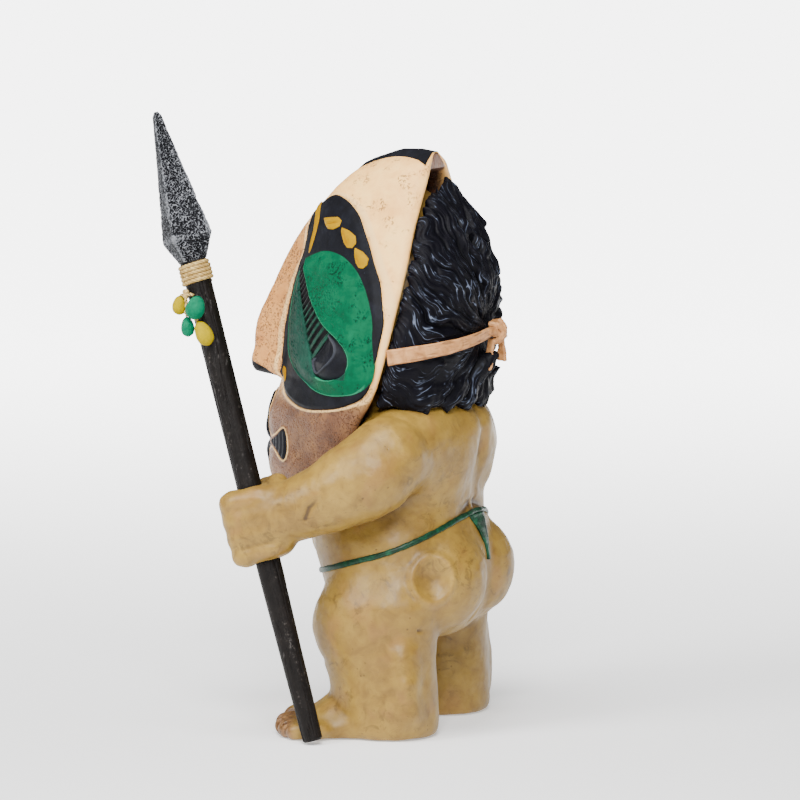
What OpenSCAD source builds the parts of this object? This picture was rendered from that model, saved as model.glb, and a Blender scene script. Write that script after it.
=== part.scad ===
// Tiki figure: a stocky cast figure in a thong, wearing an oversized carved mask
// tied behind the head, with a tall bound spear standing in its left fist.
// Millimetres. The figure faces -Y, its left side is +X, and the ground is z = 0.

/* [Mask] */
// Widest half-width of the mask, at the cheeks
mask_half_w = 60.5; // [56:0.5:63]
// Wall thickness of the hollow mask
mask_wall = 5; // [4:0.5:6]
// Height that the nose ridge stands off the mask
nose_h = 18; // [12:1:20]
// Height that the black panels round the eyes stand off the mask
surround_h = 1.2; // [0.8:0.2:1.6]
// Height of the green eye domes above the mask
dish_h = 3.2; // [3:0.2:4]
// Radius of the pupil's rim
pupil_r = 7.5; // [6:0.5:8]

/* [Spear] */
// Radius of the shaft where the hand holds it
shaft_r = 6.2; // [5.5:0.1:6.4]
// Radius of the shaft at its lower end
butt_r = 4.9; // [4.5:0.1:5.4]
// Lean of the spear towards the front, in degrees
spear_lean = 15.5; // [14.5:0.1:16]
// Lean of the spear towards the figure, in degrees
spear_lean_in = 1.5; // [0.5:0.1:2]
// Length of the spear from butt to tip
spear_l = 318.5; // [300:0.5:325]
// Corner radius of the four-sided spear head
spear_head_r = 15; // [13:0.2:16]
// Radial play of the shaft in the fist
grip_play = 0.08; // [0.04:0.02:0.1]

/* [Figure] */
// Distance of each leg's axis from the middle
leg_x = 38.5; // [38:0.5:40]
// Half-width of a leg
leg_r = 23.5; // [20:0.5:24]
// Width of the thong's waistband
band_w = 2.6; // [2:0.2:4]
// Width of the mask strap where it leaves the mask
strap_w = 8; // [6:0.5:9]

/* [Hidden] */

// The origin is the bottom centre of the whole object's bounding box: the spear's
// tip and the strap's tails set the box's ends, so the figure's own middle is behind it.
frame_shift = [0, 26.5, 0];

skin = "#d0a870";
mask_paint = "#e8c8a0";
black_paint = "#15161e";
green_paint = "#14805a";
yellow_paint = "#f5bd14";
twine = "#b8a67a";

module in_frame() translate(frame_shift) children();
module mirrored() mirror([1, 0, 0]) children();

// ---------- interpolation and lofting ----------

function span(rows, z, i = 0) =
  (i >= len(rows) - 2 || z <= rows[i + 1][0]) ? i : span(rows, z, i + 1);

// A smooth curve through rows, each [z, value, value, ...], read at height z
function row_at(rows, z) =
  let (i = span(rows, z), n = len(rows) - 1,
       a = rows[max(i - 1, 0)], b = rows[i], c = rows[i + 1], d = rows[min(i + 2, n)],
       h = c[0] - b[0], t = (z - b[0]) / h,
       mb = (c - a) / (c[0] - a[0]) * h, mc = (d - b) / (d[0] - b[0]) * h)
  (2 * t^3 - 3 * t^2 + 1) * b + (t^3 - 2 * t^2 + t) * mb
  + (3 * t^2 - 2 * t^3) * c + (t^3 - t^2) * mc;

// Every row's own height, with parts - 1 heights added between neighbours
function levels(rows, parts) = [
  for (i = [0 : len(rows) - 2]) for (k = [0 : parts - 1])
    rows[i][0] + (rows[i + 1][0] - rows[i][0]) * k / parts,
  rows[len(rows) - 1][0]
];

function power(v, e) = sign(v) * pow(abs(v), e);

// A closed solid from rings of equal length, capped flat at both ends. A crescent ring
// runs out along one side and back along the other, and is capped in strips across it.
module skin_rings(rings, crescent = false) {
  n = len(rings[0]);
  m = len(rings);
  last = (m - 1) * n;
  strips = [for (j = [0 : n / 2 - 2]) [j, j + 1, n - 2 - j, n - 1 - j]];
  polyhedron(
    points = [for (r = rings) for (p = r) p],
    faces = [
      each crescent ? strips : [[for (j = [0 : n - 1]) j]],
      for (i = [0 : m - 2]) for (j = [0 : n - 1]) let (k = (j + 1) % n)
        each [[i * n + j, (i + 1) * n + j, (i + 1) * n + k],
              [i * n + j, (i + 1) * n + k, i * n + k]],
      each crescent ? [for (s = strips) [last + s[3], last + s[2], last + s[1], last + s[0]]]
        : [[for (j = [n - 1 : -1 : 0]) last + j]]
    ]
  );
}

// A rounded section: half-width w, from y = front to y = back, fullness n
function round_ring(z, w, front, back, n, count, x0 = 0) = [
  for (i = [0 : count - 1]) let (a = 360 * i / count)
    [x0 + w * power(cos(a), 2 / n),
     (front + back) / 2 + (back - front) / 2 * power(sin(a), 2 / n), z]
];

function unit(v) = v / norm(v);

// A tube of round sections along points [x, y, z, radius], starting square to first_dir
module limb(path, count, first_dir) {
  m = len(path);
  function xyz(i) = [path[i][0], path[i][1], path[i][2]];
  function dir(i) = i == 0 ? first_dir
    : i == m - 1 ? unit(xyz(i) - xyz(i - 1)) : unit(xyz(i + 1) - xyz(i - 1));
  skin_rings([
    for (i = [0 : m - 1])
      let (t = dir(i), u = unit(cross(t, [0, 0, 1])), v = cross(t, u))
        [for (j = [0 : count - 1]) let (a = 360 * j / count)
          xyz(i) + path[i][3] * (cos(a) * u + sin(a) * v)]
  ]);
}

// Rounds the free end of a limb: rings that close over its last radius
function round_end(p, d, r) = [
  for (a = [25 : 20 : 85]) [each (p + d * r * sin(a)), r * cos(a)]
];

// ---------- body ----------

// Torso sections: height, half-width, front, back, fullness
torso_rows = [
  [46, 34, -22, 28, 2.2], [54, 50, -30, 36, 2.2], [66, 55, -35, 42, 2.2],
  [80, 56, -39, 44.5, 2.2], [92, 55, -43, 43, 2.2], [102, 53, -43.4, 39.6, 2.2],
  [112, 50.5, -38, 36.5, 2.3], [122, 48.5, -30.5, 37, 2.5], [132, 47.9, -23, 40, 2.8],
  [143, 47.9, -19, 41, 3], [154, 45, -17, 38.5, 2.9], [162, 39, -16, 35, 2.6],
  [168, 32, -15, 30, 2.3]
];
// Leg sections: height, half-width over leg_r, front, back
leg_rows = [
  [0, 1, -19, 29.5], [6, 1.03, -22.5, 30.6], [27, 1.01, -24.5, 29.8], [38, 1.03, -28.5, 29],
  [52, 1.08, -34, 30], [66, 1.05, -31, 33], [78, 0.9, -24, 29]
];
// Toes of the left foot: x, y, radius, from the big toe outwards
toes = [[41, -43, 6.6], [51, -44.5, 5.4], [58.5, -42.5, 5], [64.5, -38.5, 4.7], [69, -33, 4.4]];
sole_cut = 0.6;

module torso() {
  skin_rings([for (z = levels(torso_rows, 2)) let (r = row_at(torso_rows, z))
    round_ring(z, r[1], r[2], r[3], r[4], 44)]);
}

module leg() {
  skin_rings([for (z = levels(leg_rows, 2)) let (r = row_at(leg_rows, z))
    round_ring(z, leg_r * r[1], r[2], r[3], 2.1, 30, leg_x)]);
}

// The flat-soled front of a foot, with a rounded toe for each entry in toes
module foot() {
  hull() {
    translate([leg_x + 2, -8, 0]) cylinder(r = 21, h = 9, $fn = 24);
    translate([leg_x + 3, -10, 12]) sphere(r = 14.5, $fn = 18);
    translate([43, -32, 0]) cylinder(r = 9, h = 8, $fn = 18);
    translate([60, -28, 0]) cylinder(r = 9, h = 5, $fn = 18);
  }
  for (t = toes)
    hull() {
      translate([t[0], t[1], t[2] - sole_cut]) sphere(r = t[2], $fn = 10);
      translate([t[0] - 2, t[1] + 14, t[2]]) sphere(r = t[2], $fn = 10);
    }
}

module buttock() {
  hull() {
    translate([21, 22.2, 77]) sphere(r = 27.8, $fn = 22);
    translate([27, 11, 69]) sphere(r = 26, $fn = 18);
  }
}

module body_casting() color(skin) in_frame()
  intersection() {
    union() {
      torso();
      for (side = [0, 1]) mirror([side, 0, 0]) {
        leg();
        foot();
        buttock();
      }
    }
    translate([-150, -150, 0]) cube([300, 300, 300]);
  }

// ---------- spear frame ----------

butt_x = 78;
butt_y = -19.6;
spear_dir = [-cos(spear_lean) * sin(spear_lean_in), -sin(spear_lean),
             cos(spear_lean) * cos(spear_lean_in)];
butt = [butt_x, butt_y, butt_r * sin(spear_lean) + 0.05];
taper_l = 85;         // the shaft thins below this distance from its butt
grip_top_s = 132;     // and thickens a little above this one
collar_r = shaft_r + 0.4;
binding_s = [230, 242];
head_s = 242.4;       // the head's lower face
head_shoulder_s = 254;

module along_spear(s = 0)
  translate(butt) rotate([spear_lean, -spear_lean_in, 0]) translate([0, 0, s]) children();

// ---------- arms ----------

fist_s = [91, 128];   // the fist's lower and upper end along the shaft
arm_root = [48, 12, 143];
far_root = [-48, 10, 142];
left_arm_path = [
  [each arm_root, 18], [56, 11, 139.5, 20.3], [61, 6.5, 134.2, 20.6], [66, -2, 127.8, 19.3],
  [70, -14, 121, 17.5], [72.5, -26, 116, 15.8], [74, -38, 111.5, 14.5], [74.8, -50, 107.5, 13]
];
right_arm_path = [
  [each far_root, 17], [-56, 8, 139, 18.6], [-64.4, 5, 131, 17.8],
  [-69, -4, 120, 18.2], [-70, -12, 109, 16.7], [-67.5, -24, 101.5, 15],
  [-62, -35, 98, 13.5], [-57, -43, 96.5, 13.6], [-52.5, -49.5, 96, 13.2]
];
fist_rows = [
  // distance along the fist, half-width, front reach, back reach
  [0, 8.6, -9, 9], [1.5, 11.2, -11.6, 12.5], [5, 12.8, -13.6, 15], [9.2, 12.2, -12.9, 15.5],
  [13.5, 13.6, -14.2, 16], [18.5, 13, -13.5, 16], [23, 13.8, -14.4, 16], [28, 13.2, -13.7, 15.5],
  [32, 13.4, -13.8, 14.5], [35.5, 11.6, -12, 12], [37, 9, -9.2, 9.4]
];

module left_arm() color(skin) in_frame()
  difference() {
    union() {
      limb(left_arm_path, 28, [1, 0, 0]);
      along_spear(fist_s[0])
        skin_rings([for (z = levels(fist_rows, 1)) let (r = row_at(fist_rows, z))
          round_ring(z, r[1], r[2], r[3], 2.3, 28)]);
    }
    along_spear(fist_s[0] - 30) cylinder(r = shaft_r + grip_play, h = 110, $fn = 64);
  }

module right_arm() color(skin) in_frame() {
  last = right_arm_path[len(right_arm_path) - 1];
  before = right_arm_path[len(right_arm_path) - 2];
  hand = [last[0], last[1], last[2]];
  reach = unit(hand - [before[0], before[1], before[2]]);
  limb(concat(right_arm_path, round_end(hand, reach, last[3])), 28, [-1, 0, 0]);
}

// ---------- head and hair ----------

head_rows = [
  // height, half-width, front, back
  [168.1, 24, -18, 22], [176, 34, -25, 31], [190, 40.5, -30, 35.5], [205, 42, -31, 37],
  [220, 40, -30, 36.5], [235, 35, -26, 33], [250, 25.5, -19, 26], [262, 13.5, -8, 18],
  [268, 5, -1, 10]
];
// Hair sections: height, half-width, back; the front follows the mask's rim
hair_rows = [
  [163, 43, 35], [172, 47, 37.6], [186, 49.3, 40], [200, 50, 41.5], [215, 49, 43.4],
  [230, 44.5, 41.6], [242, 38.5, 37.5], [254, 31, 31], [263, 23, 25.7], [271, 12, 21.6],
  [276, 5, 19.6]
];
lock_count = 12;
hair_gap = 0.1;
rim_gap = 0.4;

// A section with a round back, spreading at its flat front to the mask's edge, wide
function mop_ring(z, w, wide, front, back, count) =
  let (mid = max(8, front + 0.4))
    concat([for (i = [0 : count]) let (a = 180 * i / count)
             [w * power(cos(a), 0.87) + (wide - w) * power(cos(a), 30),
              mid + (back - mid) * power(sin(a), 0.87), z]],
           [[-wide, front, z], [wide, front, z]]);

module loft_rows(rows, n, count, grow = 0)
  skin_rings([for (z = levels(rows, 2)) let (r = row_at(rows, z))
    round_ring(z, r[1] + grow, r[2] - grow, r[3] + grow, n, count)]);

module head() color("#a07850") in_frame() loft_rows(head_rows, 2, 28);

// Jagged lower locks all round the back of the mop
module locks()
  for (i = [0 : lock_count - 1])
    let (a = 180 * i / (lock_count - 1), low = 158 + 4 * (i % 3))
      hull() {
        translate([42 * cos(a), 12 + 22 * sin(a), 172]) sphere(r = 6, $fn = 12);
        translate([43.5 * cos(a + 5), 12 + 25 * sin(a + 5), low + 2.5]) sphere(r = 2.2, $fn = 8);
      }

module hair() color(black_paint) in_frame()
  difference() {
    union() {
      skin_rings([for (z = levels(hair_rows, 2))
        let (r = row_at(hair_rows, z), m = row_at(mask_rows, z))
          mop_ring(z, r[1], max(r[1], m[1] * mask_half_w - mask_wall - 0.2), m[2] + rim_gap, r[2], 24)]);
      locks();
    }
    loft_rows(head_rows, 2, 28, hair_gap);
    translate([0, 0, -hair_gap]) cylinder(r = 33, h = 168 + 2 * hair_gap, $fn = 32);
    skin_rings([for (z = levels(torso_rows, 2)) let (r = row_at(torso_rows, z))
      round_ring(z, r[1] + hair_gap, r[2], r[3] + hair_gap, r[4], 44)]);
  }

// ---------- mask surface ----------

// Mask sections: height, half-width over mask_half_w, rim y, front y without the nose,
// sharpness (1 is a straight-sided V, 2 is round), nose over nose_h, nose half-width,
// front of the hollow
mask_rows = [
  [104, 0.215, -46, -58, 1.9, 0, 12, -46.5], [112, 0.446, -38, -64, 1.9, 0, 12, -52],
  [125, 0.678, -28, -69, 1.8, 0, 12, -61], [139, 0.826, -12, -70.5, 1.6, 0, 12, -63],
  [155, 0.926, -5, -71, 1.5, 0, 13, -63], [165, 0.975, 1.5, -68, 1.43, 0, 14, -60],
  [171, 0.992, 4.5, -66, 1.4, 0.04, 15.5, -58], [174.5, 0.998, 6, -65, 1.38, 0.86, 16, -57],
  [187, 1, 9.8, -63, 1.37, 1, 14, -55], [200, 0.97, 12.5, -62, 1.38, 0.94, 13, -54],
  [217, 0.893, 15.3, -59.5, 1.42, 0.64, 12, -51], [232, 0.793, 17, -56, 1.5, 0.42, 11, -47],
  [250, 0.62, 17.2, -48.5, 1.65, 0.19, 10, -38.5], [266, 0.425, 17.5, -38, 1.9, 0, 10, -26],
  [276, 0.291, 17.4, -26, 2, 0, 10, -6], [281.5, 0.215, 17, -15.5, 2, 0, 10, 16.5],
  [286.3, 0.066, 16, -1, 2, 0, 10, 15.6]
];
mask_lo = mask_rows[0][0];
mask_hi = mask_rows[len(mask_rows) - 1][0];

// The mask's outer surface: y at a place given by x and height
function mask_y(x, z) =
  let (r = row_at(mask_rows, min(max(z, mask_lo), mask_hi)),
       u = min(abs(x) / (r[1] * mask_half_w), 1), v = min(abs(x) / r[6], 1))
  r[2] - (r[2] - r[3]) * pow(1 - pow(u, r[4]), 1 / r[4])
  - nose_h * max(r[5], 0) * (1 - v^2)^2;

// A point standing lift off the outer surface
function on_mask(x, z, lift) =
  let (e = 0.4, fx = (mask_y(x + e, z) - mask_y(x - e, z)) / (2 * e),
       fz = (mask_y(x, z + e) - mask_y(x, z - e)) / (2 * e))
  [x, mask_y(x, z), z] + lift * unit([fx, -1, fz]);

// Fills the space from the face back to the rim, so the hollow can be cut from it
module mask_body()
  skin_rings([
    for (z = levels(mask_rows, 2)) let (w = row_at(mask_rows, z)[1] * mask_half_w)
      concat([for (i = [-18 : 18]) let (x = w * power(i / 18, 1.3)) [x, mask_y(x, z), z]],
             [for (i = [3 : -1 : -3]) [w * i / 4, row_at(mask_rows, z)[2] - 0.01, z]])
  ]);

module mask_hollow()
  skin_rings([
    for (z = [109 : 7 : 277])
      let (r = row_at(mask_rows, z), w = r[1] * mask_half_w, wi = max(w - mask_wall, 0.6 * w))
        concat(
          [for (i = [-8 : 8]) let (u = abs(i) / 8)
            [wi * i / 8, r[2] - (r[2] - r[7]) * pow(1 - pow(u, r[4]), 1 / r[4]), z]],
          [[wi, r[2] + 9, z], [-wi, r[2] + 9, z]])
  ]);

module mask_shell() color(mask_paint) in_frame()
  difference() {
    mask_body();
    mask_hollow();
  }

// A smooth closed outline through points, with parts steps between neighbours
function closed_curve(pts, parts) = [
  for (i = [0 : len(pts) - 1]) for (k = [0 : parts - 1])
    let (n = len(pts), a = pts[(i + n - 1) % n], b = pts[i], c = pts[(i + 1) % n],
         d = pts[(i + 2) % n], t = k / parts)
      b + (c - a) / 2 * t + (2 * a - 5 * b + 4 * c - d) / 2 * t^2
      + (3 * b - a - 3 * c + d) / 2 * t^3
];

// The outline in anticlockwise order
function turned(pts) =
  let (n = len(pts),
       area = [for (i = [0 : n - 1]) cross(pts[i], pts[(i + 1) % n])] * [for (p = pts) 1])
  area > 0 ? pts : [for (i = [n - 1 : -1 : 0]) pts[i]];

// Keeps an outline point clear of the mask's rim
function inside_rim(p) =
  let (w = row_at(mask_rows, p[1])[1] * mask_half_w - 0.6) [min(p[0], w), p[1]];

// A raised inlay on the mask: outline in x and z about a centre, edge and middle height
module inlay(outline, centre, edge_h, mid_h, steps = [1, 0.93, 0.7, 0.4, 0.12], sink = -0.1,
             base = [0.1, 0.35, 0.6, 0.8, 0.99]) {
  pts = turned([for (p = outline) inside_rim(p)]);
  skin_rings(concat(
    [for (s = base)
      [for (p = pts) let (q = centre + s * (p - centre)) on_mask(q[0], q[1], -sink)]],
    [for (s = steps)
      [for (p = pts) let (q = centre + s * (p - centre))
        on_mask(q[0], q[1], s == 1 ? edge_h * 0.7 : edge_h + (mid_h - edge_h) * (1 - s^6))]]
  ));
}

surround_points = [
  [9.5, 263], [18, 264], [28, 256.5], [36, 246], [48, 227], [55.5, 210], [58.6, 198],
  [59.9, 184], [59.3, 173], [55, 165], [45.5, 161], [33, 163], [20, 167.5], [13, 172],
  [11.5, 182], [11, 196], [11, 210], [12, 224], [14, 236], [9.5, 250]
];
surround_centre = [33, 205];
dish_points = [
  [27.5, 237.6], [36.8, 233.8], [45, 225.6], [51, 217.6], [55.8, 205], [57.6, 192], [57.4, 178],
  [54, 169.5], [45, 168.3], [33, 171.5], [22, 179], [16, 188], [13.5, 200], [13.8, 214],
  [17, 229]
];
dish_centre = [37, 201];
comb_points = [
  [19, 231], [22, 219], [32.5, 198.5], [42, 187], [46, 177.5], [51.6, 175.8], [55.3, 179],
  [56.4, 185.5], [55.2, 191], [51.3, 197], [46, 201], [39.4, 207], [32, 217.5], [22.5, 229.5]
];
comb_centre = [42, 196];
mouth_points = [
  [0, 165], [6, 162.5], [9, 155], [9.5, 147], [18, 142.5], [18, 139.5], [9.5, 135], [9, 127],
  [6, 118], [0, 115.5], [-6, 118], [-9, 127], [-9.5, 135], [-18, 139.5], [-18, 142.5],
  [-9.5, 147], [-9, 155], [-6, 162.5]
];
mouth_mid = [0, 141];
flare_points = [[17, 142.2], [23, 144.5], [30, 148.5], [31.5, 141], [31, 133.5], [23, 137.5],
                [17, 139.8]];
flare_centre = [25, 141];
mouth_h = 1.6;

module eye_surround_left() color(black_paint) in_frame()
  inlay(closed_curve(surround_points, 2), surround_centre, surround_h, surround_h);
module eye_surround_right() mirrored() eye_surround_left();

// The dome sits on the black panel
module eye_dish_left() color(green_paint) in_frame()
  inlay(closed_curve(dish_points, 2), dish_centre, surround_h + 1, dish_h,
        sink = -surround_h - 0.15);
module eye_dish_right() mirrored() eye_dish_left();

module eye_comb_left() color(black_paint) in_frame()
  inlay(closed_curve(comb_points, 2), comb_centre, dish_h + 0.5, dish_h + comb_h, sink = -dish_h - 0.12);
module eye_comb_right() mirrored() eye_comb_left();

comb_h = 0.8;
pupil_at = [50.5, 183.5];
pupil_rise = 2.6;
module pupil_left() color(black_paint) in_frame() {
  foot = on_mask(pupil_at[0], pupil_at[1], dish_h + comb_h + 0.1);
  turn = unit(on_mask(pupil_at[0], pupil_at[1], 1) - on_mask(pupil_at[0], pupil_at[1], 0));
  ball_r = (pupil_r^2 + pupil_rise^2) / (2 * pupil_rise);
  translate(foot) rotate([0, acos(turn[2]), atan2(turn[1], turn[0])])
    intersection() {
      translate([0, 0, pupil_rise - ball_r]) sphere(r = ball_r, $fn = 64);
      cylinder(r = pupil_r + 1, h = pupil_rise + 1, $fn = 32);
    }
}
module pupil_right() mirrored() pupil_left();

// Yellow drops over the eye: x, height, half-length, half-width, tilt
drops = [[23.4, 251, 4.4, 3.6, 50], [32.4, 244.2, 5.4, 3.2, 57], [40.3, 235.4, 5.3, 2.2, 60]];
function drop_outline(d) = [
  for (i = [0 : 15]) let (a = 360 * i / 15.999, r = 1 - 0.25 * cos(a), u = d[2] * cos(a),
    v = d[3] * sin(a) * r, c = cos(-d[4]), s = sin(-d[4]))
    [d[0] + u * c - v * s, d[1] + u * s + v * c]
];
module eye_drops_left() color(yellow_paint) in_frame()
  for (d = drops)
    inlay(drop_outline(d), [d[0], d[1]], surround_h + 0.9, surround_h + 1.5, [1, 0.9, 0.5, 0.12],
          -surround_h - 0.15, [0.2, 0.99]);
module eye_drops_right() mirrored() eye_drops_left();

// Thin yellow line beside the nose
brow_points = [[12.4, 259.5], [15.6, 251], [17.8, 240], [16.7, 239.6], [14.4, 251], [11.4, 259]];
module brow_line_left() color(yellow_paint) in_frame()
  inlay(closed_curve(brow_points, 3), [15, 250.5], surround_h + 0.7, surround_h + 0.8,
        [1, 0.9, 0.3], -surround_h - 0.15, [0.3, 0.99]);
module brow_line_right() mirrored() brow_line_left();

cheek_drop = [15.6, 174.8, 4.4, 1.4, 80];
module cheek_drop_left() color("#d98a20") in_frame()
  inlay(drop_outline(cheek_drop), [cheek_drop[0], cheek_drop[1]], surround_h + 0.8,
        surround_h + 1.2, [1, 0.9, 0.3], -surround_h - 0.25, [0.3, 0.99]);
module cheek_drop_right() mirrored() cheek_drop_left();

module mask_mouth() color(black_paint) in_frame() {
  inlay(closed_curve(mouth_points, 2), mouth_mid, mouth_h, mouth_h + 0.6);
  for (side = [0, 1]) mirror([side, 0, 0])
    inlay(closed_curve(flare_points, 2), flare_centre, mouth_h, mouth_h + 0.2,
          [1, 0.9, 0.3], -0.1, [0.3, 0.99]);
}

// The crown: height of the mask's surface above a plan position, found by halving
function crown_z(x, y, lo = 262, hi = mask_hi, i = 0) =
  let (mid = (lo + hi) / 2)
    i > 14 ? mid
    : (mask_y(x, mid) < y && abs(x) < row_at(mask_rows, mid)[1] * mask_half_w)
      ? crown_z(x, y, mid, hi, i + 1) : crown_z(x, y, lo, mid, i + 1);
crest_plan = [[15.8, 14], [11, 10.6], [5.5, 8], [-1, 6], [-9, 4.4], [-18, 3], [-25.5, 1.4]];
crest_h = 1.3;
module mask_crest() color(black_paint) in_frame()
  skin_rings([
    for (c = crest_plan)
      let (across = [for (i = [-4 : 4]) c[1] * i / 4],
           under = [for (x = across) [x, c[0], crown_z(x, c[0]) + 0.15]])
        concat(under, [for (i = [8 : -1 : 0])
          under[i] + [0, 0, crest_h * (1 - 0.6 * pow(abs(i - 4) / 4, 2))]])
  ], crescent = true);

// ---------- strap ----------

strap_path = [[58.7, 12.2, 189], [46.8, 28.6, 191.6], [35, 39.6, 194], [21, 45.4, 196.4],
              [6.6, 47.2, 198.4]];
strap_t = 2.2;
knot = [0, 48, 197.8];

// A flat strap: each section stands across the run, thinner towards the knot
module mask_strap_left() color("#d0a480") in_frame()
  skin_rings([
    for (i = [0 : len(strap_path) - 1])
      let (p = strap_path[i], n = len(strap_path) - 1, w = strap_w * (1 - 0.38 * i / n) / 2,
           d = unit(strap_path[min(i + 1, n)] - strap_path[max(i - 1, 0)]),
           out = unit(cross(d, [0, 0, 1])), up = cross(out, d))
        [for (j = [0 : 11]) let (a = 30 * j)
          p + up * power(cos(a), 0.7) * w + out * power(sin(a), 0.7) * strap_t / 2]
  ]);
module mask_strap_right() mirrored() mask_strap_left();

module strap_knot() color("#c09478") in_frame()
  hull() {
    translate(knot + [-2.6, 0.4, 1.8]) sphere(r = 3.6, $fn = 16);
    translate(knot + [2.6, 0, -1.6]) sphere(r = 3.6, $fn = 16);
    translate(knot + [0, 1.4, 0]) sphere(r = 4.4, $fn = 16);
  }

// Root and foot of each tail, from the knot
tails = [[[1.5, -2.6, -6.6], [4.6, -4, -17.5]], [[-3, 1.2, -6.6], [-4, 1.6, -13]]];
module strap_tails() color("#c09478") in_frame()
  for (tail = tails)
    hull() {
      translate(knot + tail[0]) sphere(r = 1.4, $fn = 14);
      translate(knot + tail[1]) rotate([90, 0, 0]) cylinder(r = 3.3, h = 1.8, center = true, $fn = 18);
    }

// ---------- thong ----------

// A point on the torso's outside at a turn round the body and a height, lift off it
function on_torso(a, z, lift) =
  let (r = row_at(torso_rows, z), n = r[4])
    [(r[1] + lift) * power(cos(a), 2 / n),
     (r[2] + r[3]) / 2 + ((r[3] - r[2]) / 2 + lift) * power(sin(a), 2 / n), z];
// The band is low in front under the belly, and high behind
function band_z(a) = 91 + 13.5 * sin(a) - 1.5 * cos(2 * a) + 2 * sin(a)^3;
band_lift = 1.3;
band_t = 1.6;

module thong_waistband() color(green_paint) in_frame() {
  count = 60;
  turns = [for (i = [0 : count - 1]) 360 * (i + 0.5) / count];
  mid = [for (a = turns) on_torso(a, band_z(a), band_lift)];
  rings = [for (i = [0 : count - 1])
    let (out = unit([mid[i][0], mid[i][1], 0]), up = [0, 0, 1])
      [for (c = [[-1, -0.6], [-0.5, -1], [0.5, -1], [1, -0.6], [1, 0.6], [0.5, 1], [-0.5, 1],
                 [-1, 0.6]])
        mid[i] + out * c[0] * band_t / 2 + up * c[1] * band_w / 2]];
  n = 8;
  polyhedron(
    points = [for (r = rings) for (p = r) p],
    faces = [for (i = [0 : count - 1]) for (j = [0 : n - 1])
      let (i2 = (i + 1) % count, k = (j + 1) % n)
        each [[i * n + j, i * n + k, i2 * n + k], [i * n + j, i2 * n + k, i2 * n + j]]]
  );
}

// Tapered strap from the waistband down between the buttocks
back_strap = [[0, 47, 84, 1.4], [0, 46, 90, 1.9], [0, 44.2, 97, 3.2], [0, 41.9, 103, 5.6]];
module thong_back_strap() color(green_paint) in_frame()
  skin_rings([for (s = back_strap)
    [for (c = [[-1, -0.7], [-0.6, -1], [0.6, -1], [1, -0.7], [1, 0.7], [0.6, 1], [-0.6, 1],
               [-1, 0.7]])
      [s[0] + c[0] * s[3], s[1] - 1.2 + c[1] * 0.9, s[2]]]]);

front_panel = [[56, 6], [62, 9], [68, 14], [74, 20]];
module thong_front_panel() color("#173c28") in_frame()
  skin_rings([for (s = front_panel)
    let (z = s[0], r = row_at(torso_rows, z))
      concat(
        [for (i = [-4 : 4]) let (x = s[1] * i / 4)
          [x, r[2] - 2.1 + (r[3] - r[2]) / 2 * (1 - pow(1 - pow(abs(x) / r[1], r[4]), 1 / r[4])), z]],
        [for (i = [4 : -1 : -4]) let (x = s[1] * i / 4)
          [x, r[2] - 0.5 + (r[3] - r[2]) / 2 * (1 - pow(1 - pow(abs(x) / r[1], r[4]), 1 / r[4])), z]])
  ], crescent = true);

// ---------- spear ----------

module spear_shaft() color("#1c1a20") in_frame() along_spear() {
  cylinder(r1 = butt_r, r2 = shaft_r, h = taper_l, $fn = 64);
  translate([0, 0, taper_l]) cylinder(r = shaft_r, h = grip_top_s - taper_l, $fn = 64);
  translate([0, 0, grip_top_s])
    cylinder(r1 = shaft_r, r2 = collar_r, h = head_s - grip_top_s, $fn = 64);
}

// Four-sided blade with a ridge on each side, on a short four-sided socket
module spear_head() color("#4a4b52") in_frame() along_spear() rotate([0, 0, 81.6]) {
  translate([0, 0, head_s])
    cylinder(r1 = 8.4, r2 = spear_head_r, h = head_shoulder_s - head_s, $fn = 4);
  translate([0, 0, head_shoulder_s])
    cylinder(r1 = spear_head_r, r2 = 2.3, h = spear_l - head_shoulder_s, $fn = 4);
}

binding_turns = 5;
binding_r = 8.3;
module spear_binding() color(twine) in_frame() along_spear(binding_s[0]) {
  pitch = (binding_s[1] - binding_s[0]) / binding_turns;
  rotate_extrude($fn = 64)
    polygon([
      [collar_r + 0.05, 0],
      for (i = [0 : binding_turns - 1]) for (a = [-75 : 25 : 75])
        [binding_r - pitch / 2 + pitch / 2 * cos(a), pitch * (i + 0.5) + pitch / 2 * sin(a)],
      [collar_r + 0.05, pitch * binding_turns]
    ]);
}

// ---------- charms ----------

charm_eye = [79.1, -85.3, 220.2]; // where the cord hangs, just under the binding
// Each charm: centre, length, radius, turn of its long axis from upright
charm_yellow_top = [[78.8, -88.6, 213.6], 10, 4, [-10, 8, 0]];
charm_green_top = [[84.5, -77.9, 213.2], 12, 4.9, [-14, -12, 0]];
charm_green_low = [[82, -83.2, 203.4], 10, 3.4, [4, 0, 0]];
charm_yellow_low = [[84.8, -73.6, 200.8], 13, 4.4, [28, 0, 0]];

module charm(c) in_frame()
  translate(c[0]) rotate(c[3])
    rotate_extrude($fn = 32)
      polygon([for (a = [-90 : 15 : 90])
        [max(c[2] * cos(a) * (1 - 0.18 * sin(a)), 0), c[1] / 2 * sin(a)]]);

module charm_yellow_upper() color(yellow_paint) charm(charm_yellow_top);
module charm_green_upper() color("#2aa67e") charm(charm_green_top);
module charm_green_lower() color("#2aa67e") charm(charm_green_low);
module charm_yellow_lower() color(yellow_paint) charm(charm_yellow_low);

// One short hank of twine with a branch to each charm
charm_knot = [81.4, -84.3, 218.4];
cord_r = 0.9;
module twine_run(a, b) {
  d = b - a;
  translate(a) rotate([0, acos(d[2] / norm(d)), atan2(d[1], d[0])])
    cylinder(r = cord_r, h = norm(d), $fn = 24);
  translate(b) sphere(r = cord_r, $fn = 24);
}
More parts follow.
